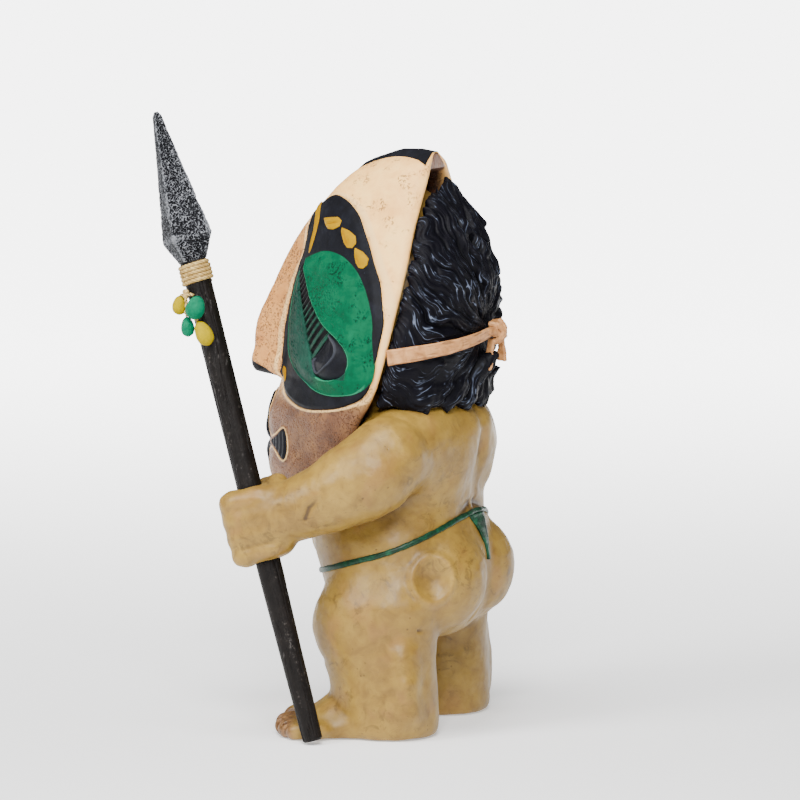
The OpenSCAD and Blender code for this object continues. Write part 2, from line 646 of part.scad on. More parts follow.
// The bead that the hank turns on lies along the hinge
module charm_cord() color(twine) in_frame() {
  translate(charm_knot) sphere(r = 1.7, $fn = 24);
  translate(charm_eye) rotate([90, 0, 146.9]) cylinder(r = 1.3, h = 3.6, center = true, $fn = 32);
  twine_run(charm_eye, charm_knot);
  twine_run(charm_knot, [79.3, -87.7, 218.2]);
  twine_run(charm_knot, [83.3, -79.5, 219]);
  twine_run(charm_knot, [82, -83.5, 208.4]);
  // A second small knot, where the last branch leaves
  translate([81.9, -83.6, 210.6]) sphere(r = 1.45, $fn = 24);
  twine_run([81.7, -84, 210.9], [84.8, -76.8, 206.8]);
}

body_casting();
left_arm();
right_arm();
head();
hair();
mask_shell();
mask_crest();
mask_mouth();
eye_surround_left();
eye_surround_right();
eye_dish_left();
eye_dish_right();
eye_comb_left();
eye_comb_right();
pupil_left();
pupil_right();
eye_drops_left();
eye_drops_right();
brow_line_left();
brow_line_right();
cheek_drop_left();
cheek_drop_right();
mask_strap_left();
mask_strap_right();
strap_knot();
strap_tails();
thong_waistband();
thong_back_strap();
thong_front_panel();
spear_shaft();
spear_head();
spear_binding();
charm_cord();
charm_yellow_upper();
charm_green_upper();
charm_green_lower();
charm_yellow_lower();
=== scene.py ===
import copy
import math
import bpy
import numpy as np
import openvdb
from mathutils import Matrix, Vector


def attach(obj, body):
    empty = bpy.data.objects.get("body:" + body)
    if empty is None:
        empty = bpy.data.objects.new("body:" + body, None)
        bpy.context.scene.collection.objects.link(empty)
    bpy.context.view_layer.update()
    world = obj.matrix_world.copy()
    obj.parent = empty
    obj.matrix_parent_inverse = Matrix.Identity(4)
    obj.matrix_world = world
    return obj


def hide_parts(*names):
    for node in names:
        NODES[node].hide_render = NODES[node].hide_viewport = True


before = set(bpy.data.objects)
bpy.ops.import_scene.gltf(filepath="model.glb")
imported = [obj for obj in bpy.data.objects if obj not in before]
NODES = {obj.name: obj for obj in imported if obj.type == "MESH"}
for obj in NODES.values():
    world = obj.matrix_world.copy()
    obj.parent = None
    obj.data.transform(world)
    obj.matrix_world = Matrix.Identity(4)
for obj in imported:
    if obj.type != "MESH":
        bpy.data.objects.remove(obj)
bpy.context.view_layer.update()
SHIFT = np.array([0.0, 26.5, 0.0])   # figure's own middle to the file's origin, mm
PI = math.pi

# ---------------------------------------------------------------- camera
CAM_AZ, CAM_EL = math.radians(110), math.radians(6.5)
CAM_DISTANCE, CAM_TARGET = 2.4, Vector((0, 0.0265, 0.150))   # metres
back = Vector((math.sin(CAM_AZ) * math.cos(CAM_EL), -math.cos(CAM_AZ) * math.cos(CAM_EL), math.sin(CAM_EL)))
cam_data = bpy.data.cameras.new("camera")
cam = bpy.data.objects.new("camera", cam_data)
bpy.context.scene.collection.objects.link(cam)
cam.location = CAM_TARGET + back * CAM_DISTANCE
cam.rotation_euler = (-back).to_track_quat("-Z", "Y").to_euler()
cam_data.sensor_width = 36
cam_data.lens = 216
cam_data.shift_x = -0.00625
cam_data.shift_y = 0.03
cam_data.clip_end = 200
bpy.context.scene.camera = cam


# ---------------------------------------------------------------- numbers and noise
def lin(h):
    """A hex colour in linear light, with alpha."""
    c = [int(h[i:i + 2], 16) / 255 for i in (1, 3, 5)]
    return tuple(v / 12.92 if v <= 0.04045 else ((v + 0.055) / 1.055) ** 2.4 for v in c) + (1.0,)


def colour(v):
    """A hex colour as a linear one; a node's output stays as it is."""
    return lin(v) if isinstance(v, str) else v


GRADS = np.array([[1, 1, 0], [-1, 1, 0], [1, -1, 0], [-1, -1, 0], [1, 0, 1], [-1, 0, 1], [1, 0, -1],
                  [-1, 0, -1],
                  [0, 1, 1], [0, -1, 1], [0, 1, -1], [0, -1, -1], [1, 1, 0], [-1, 1, 0], [0, -1, 1],
                  [0, -1, -1]], np.float32)


def noise(p, seed=0):
    """Gradient noise at points p (N, 3), about -1 to 1."""
    p = np.asarray(p, np.float32)
    i = np.floor(p).astype(np.int64)
    f = p - i
    u = f * f * f * (f * (f * 6 - 15) + 10)
    out = np.zeros(len(p), np.float32)
    for c in range(8):
        o = np.array([c & 1, (c >> 1) & 1, c >> 2])
        j = i + o
        h = (j[:, 0] * 73856093) ^ (j[:, 1] * 19349663) ^ (j[:, 2] * 83492791) ^ (seed * 2654435761)
        h = (h ^ (h >> 13)) * 1274126177
        g = GRADS[(h ^ (h >> 16)) & 15]
        w = np.prod(np.where(o == 1, u, 1 - u), axis=1)
        out += w * np.sum(g * (f - o), axis=1)
    return out * 1.4


def noise_at(x, y, z, size, seed):
    """Noise with features of about size, at points whose coordinates broadcast, in their shape."""
    p = np.stack(np.broadcast_arrays(x, y, z), -1)
    return noise(p.reshape(-1, 3) / size, seed).reshape(p.shape[:-1])


def smooth(a, b, x):
    t = np.clip((x - a) / (b - a), 0, 1)
    return t * t * (3 - 2 * t)


def smin(a, b, k):
    h = np.clip(0.5 + 0.5 * (b - a) / k, 0, 1)
    return b + (a - b) * h - k * h * (1 - h)


def smax(a, b, k):
    return -smin(-a, -b, k)


def row_at(rows, z):
    """The CAD file's smooth row interpolation: values at height z, or at many heights."""
    a = np.array(rows, float)
    z = np.clip(np.asarray(z, float), a[0, 0], a[-1, 0])
    i = np.clip(np.searchsorted(a[:, 0], z) - 1, 0, len(a) - 2)
    p, b, c, d = a[np.maximum(i - 1, 0)], a[i], a[i + 1], a[np.minimum(i + 2, len(a) - 1)]
    e = lambda v: v[..., None]
    h = e(c[..., 0] - b[..., 0])
    t = (e(z) - b[..., :1]) / h
    mb, mc = (c - p) / e(c[..., 0] - p[..., 0]) * h, (d - b) / e(d[..., 0] - b[..., 0]) * h
    return (2 * t**3 - 3 * t**2 + 1) * b + (t**3 - 2 * t**2 + t) * mb + (3 * t**2 - 2 * t**3) * c + (t**3
            - t**2) * mc


def spline(pts, n, closed=False):
    """Catmull-Rom through pts, n even steps of parameter."""
    a = np.array(pts, float)
    m = len(a)
    t = np.linspace(0, m if closed else m - 1, n, endpoint=not closed)
    i = np.minimum(np.floor(t).astype(int), m - 1 if closed else m - 2)
    f = (t - i)[:, None]
    g = (lambda k: a[k % m]) if closed else (lambda k: a[np.clip(k, 0, m - 1)])
    p0, p1, p2, p3 = g(i - 1), g(i), g(i + 1), g(i + 2)
    return p1 + (p2 - p0) / 2 * f + (2 * p0 - 5 * p1 + 4 * p2 - p3) / 2 * f**2 + (3 * p1 - p0 - 3 * p2
            + p3) / 2 * f**3


def turn_x(a):
    return np.array([[1, 0, 0], [0, math.cos(a), -math.sin(a)], [0, math.sin(a), math.cos(a)]])


def turn_y(a):
    return np.array([[math.cos(a), 0, math.sin(a)], [0, 1, 0], [-math.sin(a), 0, math.cos(a)]])


def unit(v):
    v = np.asarray(v, float)
    return v / np.maximum(np.linalg.norm(v, axis=-1, keepdims=True), 1e-9)


# ---------------------------------------------------------------- distance fields
class Field:
    """Signed distances in mm on a grid of spacing h, in the figure's frame."""
    def __init__(s, lo, hi, h):
        s.lo, s.h = np.array(lo, float), h
        s.n = np.ceil((np.array(hi) - s.lo) / h).astype(int) + 1
        s.ax = [(s.lo[i] + h * np.arange(s.n[i])).astype(np.float32) for i in range(3)]
        s.d = np.full(s.n, 30, np.float32)

    def part(s, sl, d):
        """A field on the cells sl of this one, with its own distances d."""
        o = copy.copy(s)
        o.lo, o.n = np.array([ax[c.start] for ax, c in zip(s.ax, sl)], float), np.array(d.shape)
        o.ax, o.d = [ax[c] for ax, c in zip(s.ax, sl)], d
        return o

    def node(s, name, reach):
        """Distances to a CAD node's surface, in mm."""
        me = NODES[name].data
        me.calc_loop_triangles()
        v = np.array([p.co for p in me.vertices], float) * 1000 - SHIFT
        t = np.array([q.vertices for q in me.loop_triangles], np.uint32)
        g = openvdb.FloatGrid.createLevelSetFromPolygons(
            (v - s.lo).astype(np.float32), triangles=t,
            transform=openvdb.createLinearTransform(voxelSize=s.h), halfWidth=reach / s.h)
        a = np.zeros(s.n, np.float32)
        g.copyToArray(a)
        return a

    def blur(s, a, sigma):
        r = sigma / s.h
        m = int(math.ceil(2.6 * r))
        k = np.exp(-0.5 * (np.arange(-m, m + 1) / r) ** 2)
        k /= k.sum()
        for ax in range(3):
            pad = [(0, 0)] * 3
            pad[ax] = (m, m)
            b = np.pad(a, pad, mode="edge")
            out = np.zeros_like(a)
            for j, w in enumerate(k):
                sl = [slice(None)] * 3
                sl[ax] = slice(j, j + a.shape[ax])
                out += np.float32(w) * b[tuple(sl)]
            a = out
        return a

    def box(s, lo, hi):
        a = np.clip(np.floor((np.array(lo) - s.lo) / s.h).astype(int), 0, s.n)
        b = np.clip(np.ceil((np.array(hi) - s.lo) / s.h).astype(int) + 1, 0, s.n)
        sl = tuple(slice(a[i], b[i]) for i in range(3))
        xyz = [s.ax[i][sl[i]].reshape([-1 if j == i else 1 for j in range(3)]) for i in range(3)]
        return sl, xyz

    def blend(s, kind, pts, k, margin=6):
        """Adds ("add") or carves ("cut") a chain of spheres [x, y, z, r]."""
        p = np.array(pts, float)
        r = p[:, 3].max() + margin + k
        sl, (x, y, z) = s.box(p[:, :3].min(0) - r, p[:, :3].max(0) + r)
        c = chain(x, y, z, p)
        s.d[sl] = smin(s.d[sl], c, k) if kind == "add" else smax(s.d[sl], -c, k)

    def sample(s, pts, a=None):
        a = s.d if a is None else a
        q = np.clip((np.asarray(pts, float) - s.lo) / s.h, 0, s.n - 1.001)
        i = q.astype(int)
        f = (q - i).astype(np.float32)
        out = 0
        for c in range(8):
            o = (c & 1, (c >> 1) & 1, c >> 2)
            w = 1
            for ax in range(3):
                w = w * (f[:, ax] if o[ax] else 1 - f[:, ax])
            out = out + w * a[i[:, 0] + o[0], i[:, 1] + o[1], i[:, 2] + o[2]]
        return out

    def normal(s, pts, e=0.8):
        g = np.stack([s.sample(pts + np.eye(3)[i] * e) - s.sample(pts - np.eye(3)[i] * e) for i in range(3)], 1)
        return unit(g)

    def snap(s, pts, lift=0.0, steps=8):
        p = np.atleast_2d(np.array(pts, float))
        for _ in range(steps):
            p = p - s.normal(p) * (s.sample(p) - lift)[:, None] * 0.9
        return p

    def mesh(s):
        g = openvdb.FloatGrid(background=30.0)
        g.copyFromArray(s.d)
        v, q = g.convertToQuads(isovalue=0.0)
        return v * s.h + s.lo, q.astype(int)


def chain(x, y, z, p):
    best = None
    for a, b in zip(p[:-1], p[1:]) if len(p) > 1 else [(p[0], p[0])]:
        d = b[:3] - a[:3]
        l2 = max(float(d @ d), 1e-9)
        t = np.clip(((x - a[0]) * d[0] + (y - a[1]) * d[1] + (z - a[2]) * d[2]) / l2, 0, 1).astype(np.float32)
        e = np.sqrt((x - a[0] - t * d[0]) ** 2 + (y - a[1] - t * d[1]) ** 2
                    + (z - a[2] - t * d[2]) ** 2) - (a[3] + t * (b[3] - a[3]))
        best = e if best is None else np.minimum(best, e)
    return best.astype(np.float32)


def cavity(f, v, sigma):
    """How enclosed a surface point is: 0 flat, positive in hollows, negative on edges."""
    occ = np.clip(0.5 - f.d / (2 * f.h), 0, 1).astype(np.float32)
    return (f.sample(v, f.blur(occ, sigma)) - 0.5) * 2


# ---------------------------------------------------------------- meshes
def add(name, v, faces, body, nodes, material, attrs=None, normals=None):
    """Makes a smooth-shaded piece from points in mm, and tells the frame what it rides on and replaces."""
    me = bpy.data.meshes.new(name)
    v = (np.asarray(v, float) + SHIFT) * 0.001
    me.from_pydata(v.tolist(), [], [list(map(int, f)) for f in faces] if isinstance(faces, list)
                   else faces.tolist())
    me.validate()
    me.polygons.foreach_set("use_smooth", [True] * len(me.polygons))
    for key, val in (attrs or {}).items():
        a = me.attributes.new(key, "FLOAT", "POINT")
        a.data.foreach_set("value", np.asarray(val, np.float32)[:len(me.vertices)])
    if normals is not None:
        me.normals_split_custom_set_from_vertices(np.asarray(normals, float).tolist())
    me.update()
    o = bpy.data.objects.new(name, me)
    bpy.context.scene.collection.objects.link(o)
    me.materials.append(material)
    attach(o, body)
    if nodes:
        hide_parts(*nodes)
    return o


def grid(nu, nv, wrap=False):
    """Quads over nv rings of nu points."""
    i, j = np.meshgrid(np.arange(nu if wrap else nu - 1), np.arange(nv - 1))
    k = (i + 1) % nu
    return np.stack([j * nu + i, j * nu + k, (j + 1) * nu + k, (j + 1) * nu + i], -1).reshape(-1, 4)


def capped(nu, nv):
    """Faces of nv closed rings of nu points, with both ends closed."""
    return grid(nu, nv, True).tolist() + [list(range(nu))[::-1], list(range((nv - 1) * nu, nv * nu))]


def flip(faces):
    return [g[::-1] for g in faces]


def frames(path):
    """Parallel-carried frames along a path: tangents and two normals."""
    t = unit(np.gradient(path, axis=0))
    n = np.zeros_like(t)
    n[0] = unit(np.cross(t[0], [0.3, 0.1, 1]))
    for i in range(1, len(t)):
        n[i] = unit(n[i - 1] - t[i] * (n[i - 1] @ t[i]))
    return t, n, np.cross(t, n)


def tube(path, rad, sides=12, shape=None):
    """A tube along path. shape(s, a) scales its radius at length s and angle a."""
    _, n, b = frames(path)
    a = np.linspace(0, 2 * PI, sides, endpoint=False)
    s = np.concatenate([[0], np.cumsum(np.linalg.norm(np.diff(path, axis=0), axis=1))])
    rad = np.broadcast_to(np.asarray(rad, float), (len(path),))
    k = np.ones((len(path), sides)) if shape is None else shape(s[:, None], a[None])
    c, d = np.cos(a), np.sin(a)
    v = path[:, None] + (rad[:, None] * k)[..., None] * (c[None, :, None] * n[:, None] + d[None, :, None]
            * b[:, None])
    return v.reshape(-1, 3), capped(sides, len(path))


def join(parts):
    v, f, n = [], [], 0
    for pv, pf in parts:
        v.append(np.asarray(pv))
        f += [[int(i) + n for i in q] for q in (pf.tolist() if hasattr(pf, "tolist") else pf)]
        n += len(pv)
    return np.concatenate(v), f


# ---------------------------------------------------------------- materials
class Mat:
    def __init__(s, name):
        s.m = bpy.data.materials.new(name)
        s.m.use_nodes = True
        s.t = s.m.node_tree
        s.t.nodes.clear()
        s.bsdf = s.t.nodes.new("ShaderNodeBsdfPrincipled")
        out = s.t.nodes.new("ShaderNodeOutputMaterial")
        s.t.links.new(s.bsdf.outputs[0], out.inputs[0])
        s.co = s.t.nodes.new("ShaderNodeTexCoord").outputs["Object"]
        s.mm = s.vec(s.co, 1000)

    def put(s, sock, v):
        if isinstance(v, bpy.types.NodeSocket):
            s.t.links.new(v, sock)
        else:
            sock.default_value = v

    def vec(s, v, scale):
        n = s.t.nodes.new("ShaderNodeMapping")
        s.t.links.new(v, n.inputs["Vector"])
        n.inputs["Scale"].default_value = scale if isinstance(scale, tuple) else (scale,) * 3
        return n.outputs[0]

    def noise(s, size, detail=3, rough=0.55, warp=0.0, vec=None, stretch=(1, 1, 1)):
        """Noise whose features are about size mm across."""
        n = s.t.nodes.new("ShaderNodeTexNoise")
        s.t.links.new(s.vec(vec or s.mm, tuple(1 / (size * k) for k in stretch)), n.inputs["Vector"])
        n.inputs["Scale"].default_value = 1
        n.inputs["Detail"].default_value = detail
        n.inputs["Roughness"].default_value = rough
        n.inputs["Distortion"].default_value = warp
        return n.outputs["Fac"]

    def cells(s, size, feature="F1", stretch=(1, 1, 1), rand=1.0):
        n = s.t.nodes.new("ShaderNodeTexVoronoi")
        n.feature = feature
        s.t.links.new(s.vec(s.mm, tuple(1 / (size * k) for k in stretch)), n.inputs["Vector"])
        n.inputs["Scale"].default_value = 1
        n.inputs["Randomness"].default_value = rand
        return n.outputs["Distance"]

    def attr(s, name):
        n = s.t.nodes.new("ShaderNodeAttribute")
        n.attribute_name = name
        return n.outputs["Fac"]

    def strand(s, across, along, detail=2):
        """Noise drawn out along the hair's flow."""
        n = s.t.nodes.new("ShaderNodeCombineXYZ")
        for i, k in enumerate(("sc", "ss", "st")):
            s.t.links.new(s.attr(k), n.inputs[i])
        t = s.t.nodes.new("ShaderNodeTexNoise")
        s.t.links.new(s.vec(n.outputs[0], (across, across, along)), t.inputs["Vector"])
        t.inputs["Scale"].default_value = 1
        t.inputs["Detail"].default_value = detail
        return t.outputs["Fac"]

    def math(s, op, a, b=0.0):
        n = s.t.nodes.new("ShaderNodeMath")
        n.operation = op
        s.put(n.inputs[0], a)
        s.put(n.inputs[1], b)
        return n.outputs[0]

    def mul(s, a, b):
        return s.math("MULTIPLY", a, b)

    def add(s, a, b):
        return s.math("ADD", a, b)

    def sub(s, a, b):
        return s.math("SUBTRACT", a, b)

    def max(s, a, b):
        return s.math("MAXIMUM", a, b)

    def step(s, v, lo, hi, a=0.0, b=1.0):
        n = s.t.nodes.new("ShaderNodeMapRange")
        n.interpolation_type = "SMOOTHSTEP"
        s.put(n.inputs["Value"], v)
        for k, w in zip(("From Min", "From Max", "To Min", "To Max"), (lo, hi, a, b)):
            n.inputs[k].default_value = w
        return n.outputs["Result"]

    def mix(s, f, a, b, mode="MIX"):
        n = s.t.nodes.new("ShaderNodeMix")
        n.data_type = "RGBA"
        n.blend_type = mode
        s.put(n.inputs["Factor"], f)
        s.put(n.inputs[6], colour(a))
        s.put(n.inputs[7], colour(b))
        return n.outputs[2]

    def ramp(s, v, stops):
        n = s.t.nodes.new("ShaderNodeValToRGB")
        s.put(n.inputs["Fac"], v)
        e = n.color_ramp.elements
        while len(e) < len(stops):
            e.new(0.5)
        for k, (pos, col) in enumerate(stops):
            e[k].position = pos
            e[k].color = lin(col)
        return n.outputs["Color"]

    def bump(s, height, dist, strength=1.0, prev=None):
        n = s.t.nodes.new("ShaderNodeBump")
        n.inputs["Strength"].default_value = strength
        n.inputs["Distance"].default_value = dist * 0.001
        s.put(n.inputs["Height"], height)
        if prev is not None:
            s.put(n.inputs["Normal"], prev)
        return n.outputs["Normal"]

    def done(s, color, rough, normal=None, **kw):
        s.put(s.bsdf.inputs["Base Color"], colour(color))
        s.put(s.bsdf.inputs["Roughness"], rough)
        if normal is not None:
            s.put(s.bsdf.inputs["Normal"], normal)
        for k, v in kw.items():
            s.bsdf.inputs[k.replace("_", " ")].default_value = v
        return s.m


def skin_material():
    m = Mat("skin_paint")
    big, mid = m.noise(26, 3, 0.6, 0.6), m.noise(7, 4, 0.6, 0.8)
    col = m.ramp(m.add(m.mul(big, 0.6), m.mul(mid, 0.4)),
                 [(0.3, "#694d1b"), (0.44, "#806226"), (0.56, "#8e702d"), (0.72, "#a08038")])
    # rubbed pink-tan patches, a brown wash with painted shade in the fine creases, painted shade in the broad
    # hollows, raised edges painted lighter, thin smudges and specks
    col = m.mix(m.step(m.noise(17, 2, 0.5), 0.56, 0.72, 0, 0.3), col, "#8c6236")
    smear = m.mul(m.step(m.noise(9, 5, 0.7, 1.4), 0.5, 0.66), m.step(m.noise(30, 2), 0.4, 0.58))
    col = m.mix(m.mul(smear, 0.5), col, "#443014")
    # brown wash and painted shade in the fine creases
    fine = m.add(m.mul(m.attr("cav1"), 1.5), m.mul(m.noise(4, 4), 0.12))
    col = m.mix(m.step(fine, 0.1, 0.34, 0, 0.85), col, "#3a2610")
    # painted shade in the broad hollows
    broad = m.add(m.attr("broad_shade"), m.mul(m.noise(12, 4, 0.6), 0.2))
    col = m.mix(m.step(broad, 0.14, 0.5, 0, 0.6), col, "#4e3618")
    # raised edges painted lighter
    col = m.mix(m.step(m.mul(m.attr("cav1"), -1.0), 0.06, 0.3, 0, 0.3), col, "#b8904a")
    fleck = m.mul(m.step(m.noise(1.9, 4, 0.7, 0.4, stretch=(1.5, 1.5, 0.6)), 0.56, 0.7),
                  m.step(m.noise(13, 3), 0.46, 0.62))
    col = m.mix(m.mul(fleck, 0.4), col, "#4a3517")
    speck = m.mul(m.step(m.cells(3.4), 0.2, 0.07), m.step(m.noise(11, 3), 0.55, 0.68))
    scratch = m.mul(m.step(m.noise(2.2, 3, 0.6, 0.4, stretch=(1.6, 1.6, 0.45)), 0.66, 0.76),
                    m.step(m.noise(15, 3), 0.5, 0.62))
    col = m.mix(m.mul(m.max(speck, scratch), 0.6), col, "#38240e")
    col = m.mix(m.attr("toe"), col, m.ramp(m.noise(2.6, 4, 0.7, 0.5),
                                           [(0.36, "#3c2213"), (0.52, "#6e4a30"), (0.68, "#8f6a46")]))
    rough = m.add(0.32, m.mul(m.noise(8, 4), 0.22))
    nor = m.bump(m.noise(3.2, 4, 0.6), 0.22, 0.7)
    nor = m.bump(m.sub(1.0, m.max(speck, scratch)), 0.18, 0.8, nor)
    return m.done(col, rough, nor, Specular_IOR_Level=0.4)


def mask_material():
    m = Mat("mask_paint")
    big = m.add(m.mul(m.noise(24, 3, 0.6, 0.4), 0.6), m.mul(m.noise(6, 4, 0.6, 0.6), 0.4))
    face = m.ramp(big, [(0.3, "#e3a258"), (0.46, "#f4b96a"), (0.6, "#ffca78"), (0.8, "#ffd486")])
    # the jaw in a darker copy of the face colour: painted shade
    shaded_jaw = m.ramp(big, [(0.3, "#4a3022"), (0.46, "#684630"), (0.6, "#805a3a"), (0.8, "#9a7048")])
    # a darker, warmer tone down the middle of the face: partly a warm cast, partly painted shade on the side
    # turned from the light
    nose = m.ramp(big, [(0.3, "#ab6c34"), (0.5, "#c68848"), (0.75, "#d59a56")])
    col = m.mix(m.attr("nose"), face, nose)
    col = m.mix(m.attr("shaded_jaw"), col, shaded_jaw)
    ins = m.ramp(m.noise(5, 4, 0.65, 0.6), [(0.3, "#4d352b"), (0.5, "#765645"), (0.7, "#967059")])
    pit = m.mul(m.step(m.noise(1.15, 2, 0.5), 0.47, 0.36),
                 m.step(m.add(m.noise(10, 3), m.add(m.mul(m.attr("shaded_jaw"), 0.2), m.mul(m.attr("nose"), 0.2))),
                        0.52, 0.66))
    col = m.mix(m.mul(pit, 0.6), col, "#74482a")
    col = m.mix(m.step(m.noise(3.2, 4, 0.7, 0.8), 0.6, 0.74, 0, 0.35), col, "#a86c36")
    col = m.mix(m.step(m.attr("lip"), 0.35, 0.85, 0, 0.75), col, "#f2c684")
    col = m.mix(m.attr("inside"), col, ins)
    col = m.mix(m.step(m.attr("black"), 0.25, 0.55), col, "#0d0d12")
    nor = m.bump(m.noise(2.4, 4, 0.65), 0.25, 0.7)
    nor = m.bump(m.sub(1.0, pit), 0.7, 1.0, nor)
    return m.done(col, m.add(0.38, m.mul(m.noise(6), 0.24)), nor, Specular_IOR_Level=0.3)


def black_material(name="black_paint", attr=None):
    m = Mat(name)
    col = m.ramp(m.noise(7, 4, 0.6, 0.5), [(0.3, "#08080c"), (0.55, "#0f1016"), (0.8, "#181a22")])
    wear = m.mul(m.step(m.cells(2.2), 0.12, 0.05), m.step(m.noise(9, 3), 0.54, 0.66))
    col = m.mix(m.mul(wear, 0.45), col, "#4c5262")
    if attr:
        col = m.mix(m.step(m.attr(attr), 0.3, 0.95, 0, 0.6), col, "#3d4048")
    nor = m.bump(m.noise(2.6, 4, 0.65), 0.2, 0.8)
    return m.done(col, m.add(0.44, m.mul(m.noise(5), 0.2)), nor, Specular_IOR_Level=0.12)


def comb_material():
    m = Mat("comb_paint")
    g = m.ramp(m.noise(3, 3), [(0.3, "#052a1d"), (0.7, "#084030")])
    col = m.mix(m.step(m.attr("rib"), 0.72, 0.98, 0, 0.9), "#060708", g)
    return m.done(col, 0.42, m.bump(m.noise(1.6, 3), 0.15), Specular_IOR_Level=0.15)


def green_material():
    m = Mat("green_paint")
    n = m.add(m.mul(m.noise(14, 3, 0.6, 0.4), 0.6), m.mul(m.noise(3.5, 4, 0.6), 0.4))
    right = m.ramp(n, [(0.3, "#004028"), (0.5, "#005033"), (0.7, "#035e3e")])
    # the left part in a darker copy of the green: painted shade
    left = m.ramp(n, [(0.3, "#0c2e24"), (0.5, "#133c30"), (0.75, "#1a4a3b")])
    col = m.mix(m.attr("right"), left, right)
    pit = m.mul(m.step(m.noise(1.0, 2, 0.5), 0.48, 0.37),
                m.max(m.step(m.noise(9, 2), 0.5, 0.64), m.attr("pitty")))
    col = m.mix(m.mul(pit, 0.75), col, "#00180f")
    # painted highlight: a brighter green along the raised crest of the S line and the dish's raised rim
    col = m.mix(m.step(m.attr("line"), 0.35, 0.85, 0, 0.85), col, "#2c8a64")
    # painted shade: near-black in the recess under the comb
    col = m.mix(m.step(m.attr("recess_shade"), 0.2, 0.8), col, "#050a08")
    nor = m.bump(m.sub(1.0, pit), 0.4, 1.0)
    nor = m.bump(m.noise(1.6, 3), 0.14, 0.8, nor)
    return m.done(col, m.add(0.5, m.mul(m.noise(4), 0.2)), nor, Specular_IOR_Level=0.08)


def gloss_material(name, stops, shade, attr=None):
    m = Mat(name)
    col = m.ramp(m.noise(4, 3, 0.6), stops)
    if attr:
        col = m.mix(m.step(m.attr(attr), 0.1, 0.9, 0, 0.85), col, shade)
    return m.done(col, m.add(0.24, m.mul(m.noise(2.5), 0.15)), m.bump(m.noise(1.8, 3), 0.12, 0.7),
                  Specular_IOR_Level=0.02)


def hair_material():
    m = Mat("hair_paint")
    col = m.ramp(m.noise(5, 3), [(0.3, "#05050a"), (0.7, "#0b0a11")])
    # painted shade in the hollows between the locks
    col = m.mix(m.step(m.attr("cavity_shade"), 0.0, 0.3, 0, 0.9), col, "#030306")
    broad, fine = m.strand(14, 1.9, 1), m.strand(60, 3.4, 2)
    line = m.sub(1.0, m.step(m.math("ABSOLUTE", m.sub(broad, 0.5)), 0.003, 0.016))
    thin = m.sub(1.0, m.step(m.math("ABSOLUTE", m.sub(m.strand(27, 2.6, 1), 0.5)), 0.004, 0.022))
    here = m.step(m.noise(9, 3, 0.6), 0.52, 0.66)
    line = m.max(m.mul(line, m.step(m.noise(16, 3), 0.44, 0.58)), m.mul(thin, here))
    brush = m.mul(m.step(fine, 0.52, 0.66), m.step(m.noise(8, 3, 0.6), 0.6, 0.72))
    line = m.max(m.mul(line, 0.85), m.mul(brush, 0.75))
    proud = m.mul(m.step(m.attr("cavity_shade"), 0.12, -0.02), m.step(m.attr("st"), 0.2, 0.55))
    col = m.mix(m.mul(line, proud), col, "#6a7489")
    return m.done(col, 0.5, m.bump(m.strand(46, 3.0, 3), 0.45, 0.9), Specular_IOR_Level=0.09)


def strap_material():
    m = Mat("strap_paint")
    col = m.ramp(m.noise(5, 4, 0.6, 0.8), [(0.3, "#95633a"), (0.5, "#bb8452"), (0.7, "#cf9a66")])
    # painted shade in the grain and creases and along the strap's lower edge
    col = m.mix(m.step(m.add(m.attr("cavity_shade"), m.mul(m.noise(2.5, 4), 0.25)), 0.2, 0.55, 0, 0.6), col, "#5c3822")
    col = m.mix(m.step(m.noise(1.6, 4, 0.7, 0.5, stretch=(2.2, 2.2, 0.6)), 0.62, 0.74, 0, 0.4), col, "#6a4022")
    return m.done(col, 0.5, m.bump(m.noise(1.5, 4), 0.25, 0.8), Specular_IOR_Level=0.25)


def twine_material():
    m = Mat("twine_paint")
    col = m.ramp(m.noise(2.4, 4, 0.6), [(0.3, "#8e6e34"), (0.5, "#b6965a"), (0.72, "#d6ba78")])
    # painted shade in the grooves between the strands
    col = m.mix(m.step(m.attr("cavity_shade"), 0.15, 0.7, 0, 0.85), col, "#382a14")
    return m.done(col, 0.65, m.bump(m.noise(0.6, 3), 0.15, 0.9), Specular_IOR_Level=0.2)


def thong_material():
    m = Mat("thong_paint")
    col = m.ramp(m.noise(5, 4, 0.65, 0.6), [(0.32, "#041d10"), (0.5, "#08331f"), (0.68, "#105034")])
    return m.done(col, 0.4, m.bump(m.noise(1.4, 4), 0.2, 0.8), Specular_IOR_Level=0.25)


def shaft_material():
    m = Mat("shaft_paint")
    col = m.ramp(m.noise(6, 4, 0.65, 0.3), [(0.3, "#0a0706"), (0.6, "#120e0c"), (0.85, "#1e1815")])
    col = m.mix(m.mul(m.attr("rub"), m.step(m.noise(1.8, 5, 0.75), 0.5, 0.7, 0, 0.75)), col, "#56504c")
    scr = m.mul(m.step(m.noise(1.3, 3, 0.6, stretch=(1, 1, 4)), 0.6, 0.68), m.step(m.noise(13, 3), 0.46, 0.6))
    col = m.mix(m.mul(scr, 0.7), col, "#5a5654")
    return m.done(col, m.add(0.42, m.mul(m.noise(3), 0.2)), m.bump(m.noise(1.5, 4, 0.65), 0.25, 0.8),
                  Specular_IOR_Level=0.15)


def stone_material():
    m = Mat("stone_paint")
    col = m.ramp(m.noise(3, 5, 0.7, 0.4), [(0.3, "#07080a"), (0.6, "#0d0e12"), (0.85, "#16171b")])
    col = m.mix(m.mul(m.step(m.attr("peak"), 0.15, 0.6), m.step(m.noise(1.4, 4, 0.75), 0.32, 0.5, 0, 0.9)), col,
                "#7d7f84")
    return m.done(col, m.add(0.4, m.mul(m.noise(1.5), 0.25)), m.bump(m.noise(0.9, 4, 0.7), 0.25, 1.0),
                  Specular_IOR_Level=0.08)


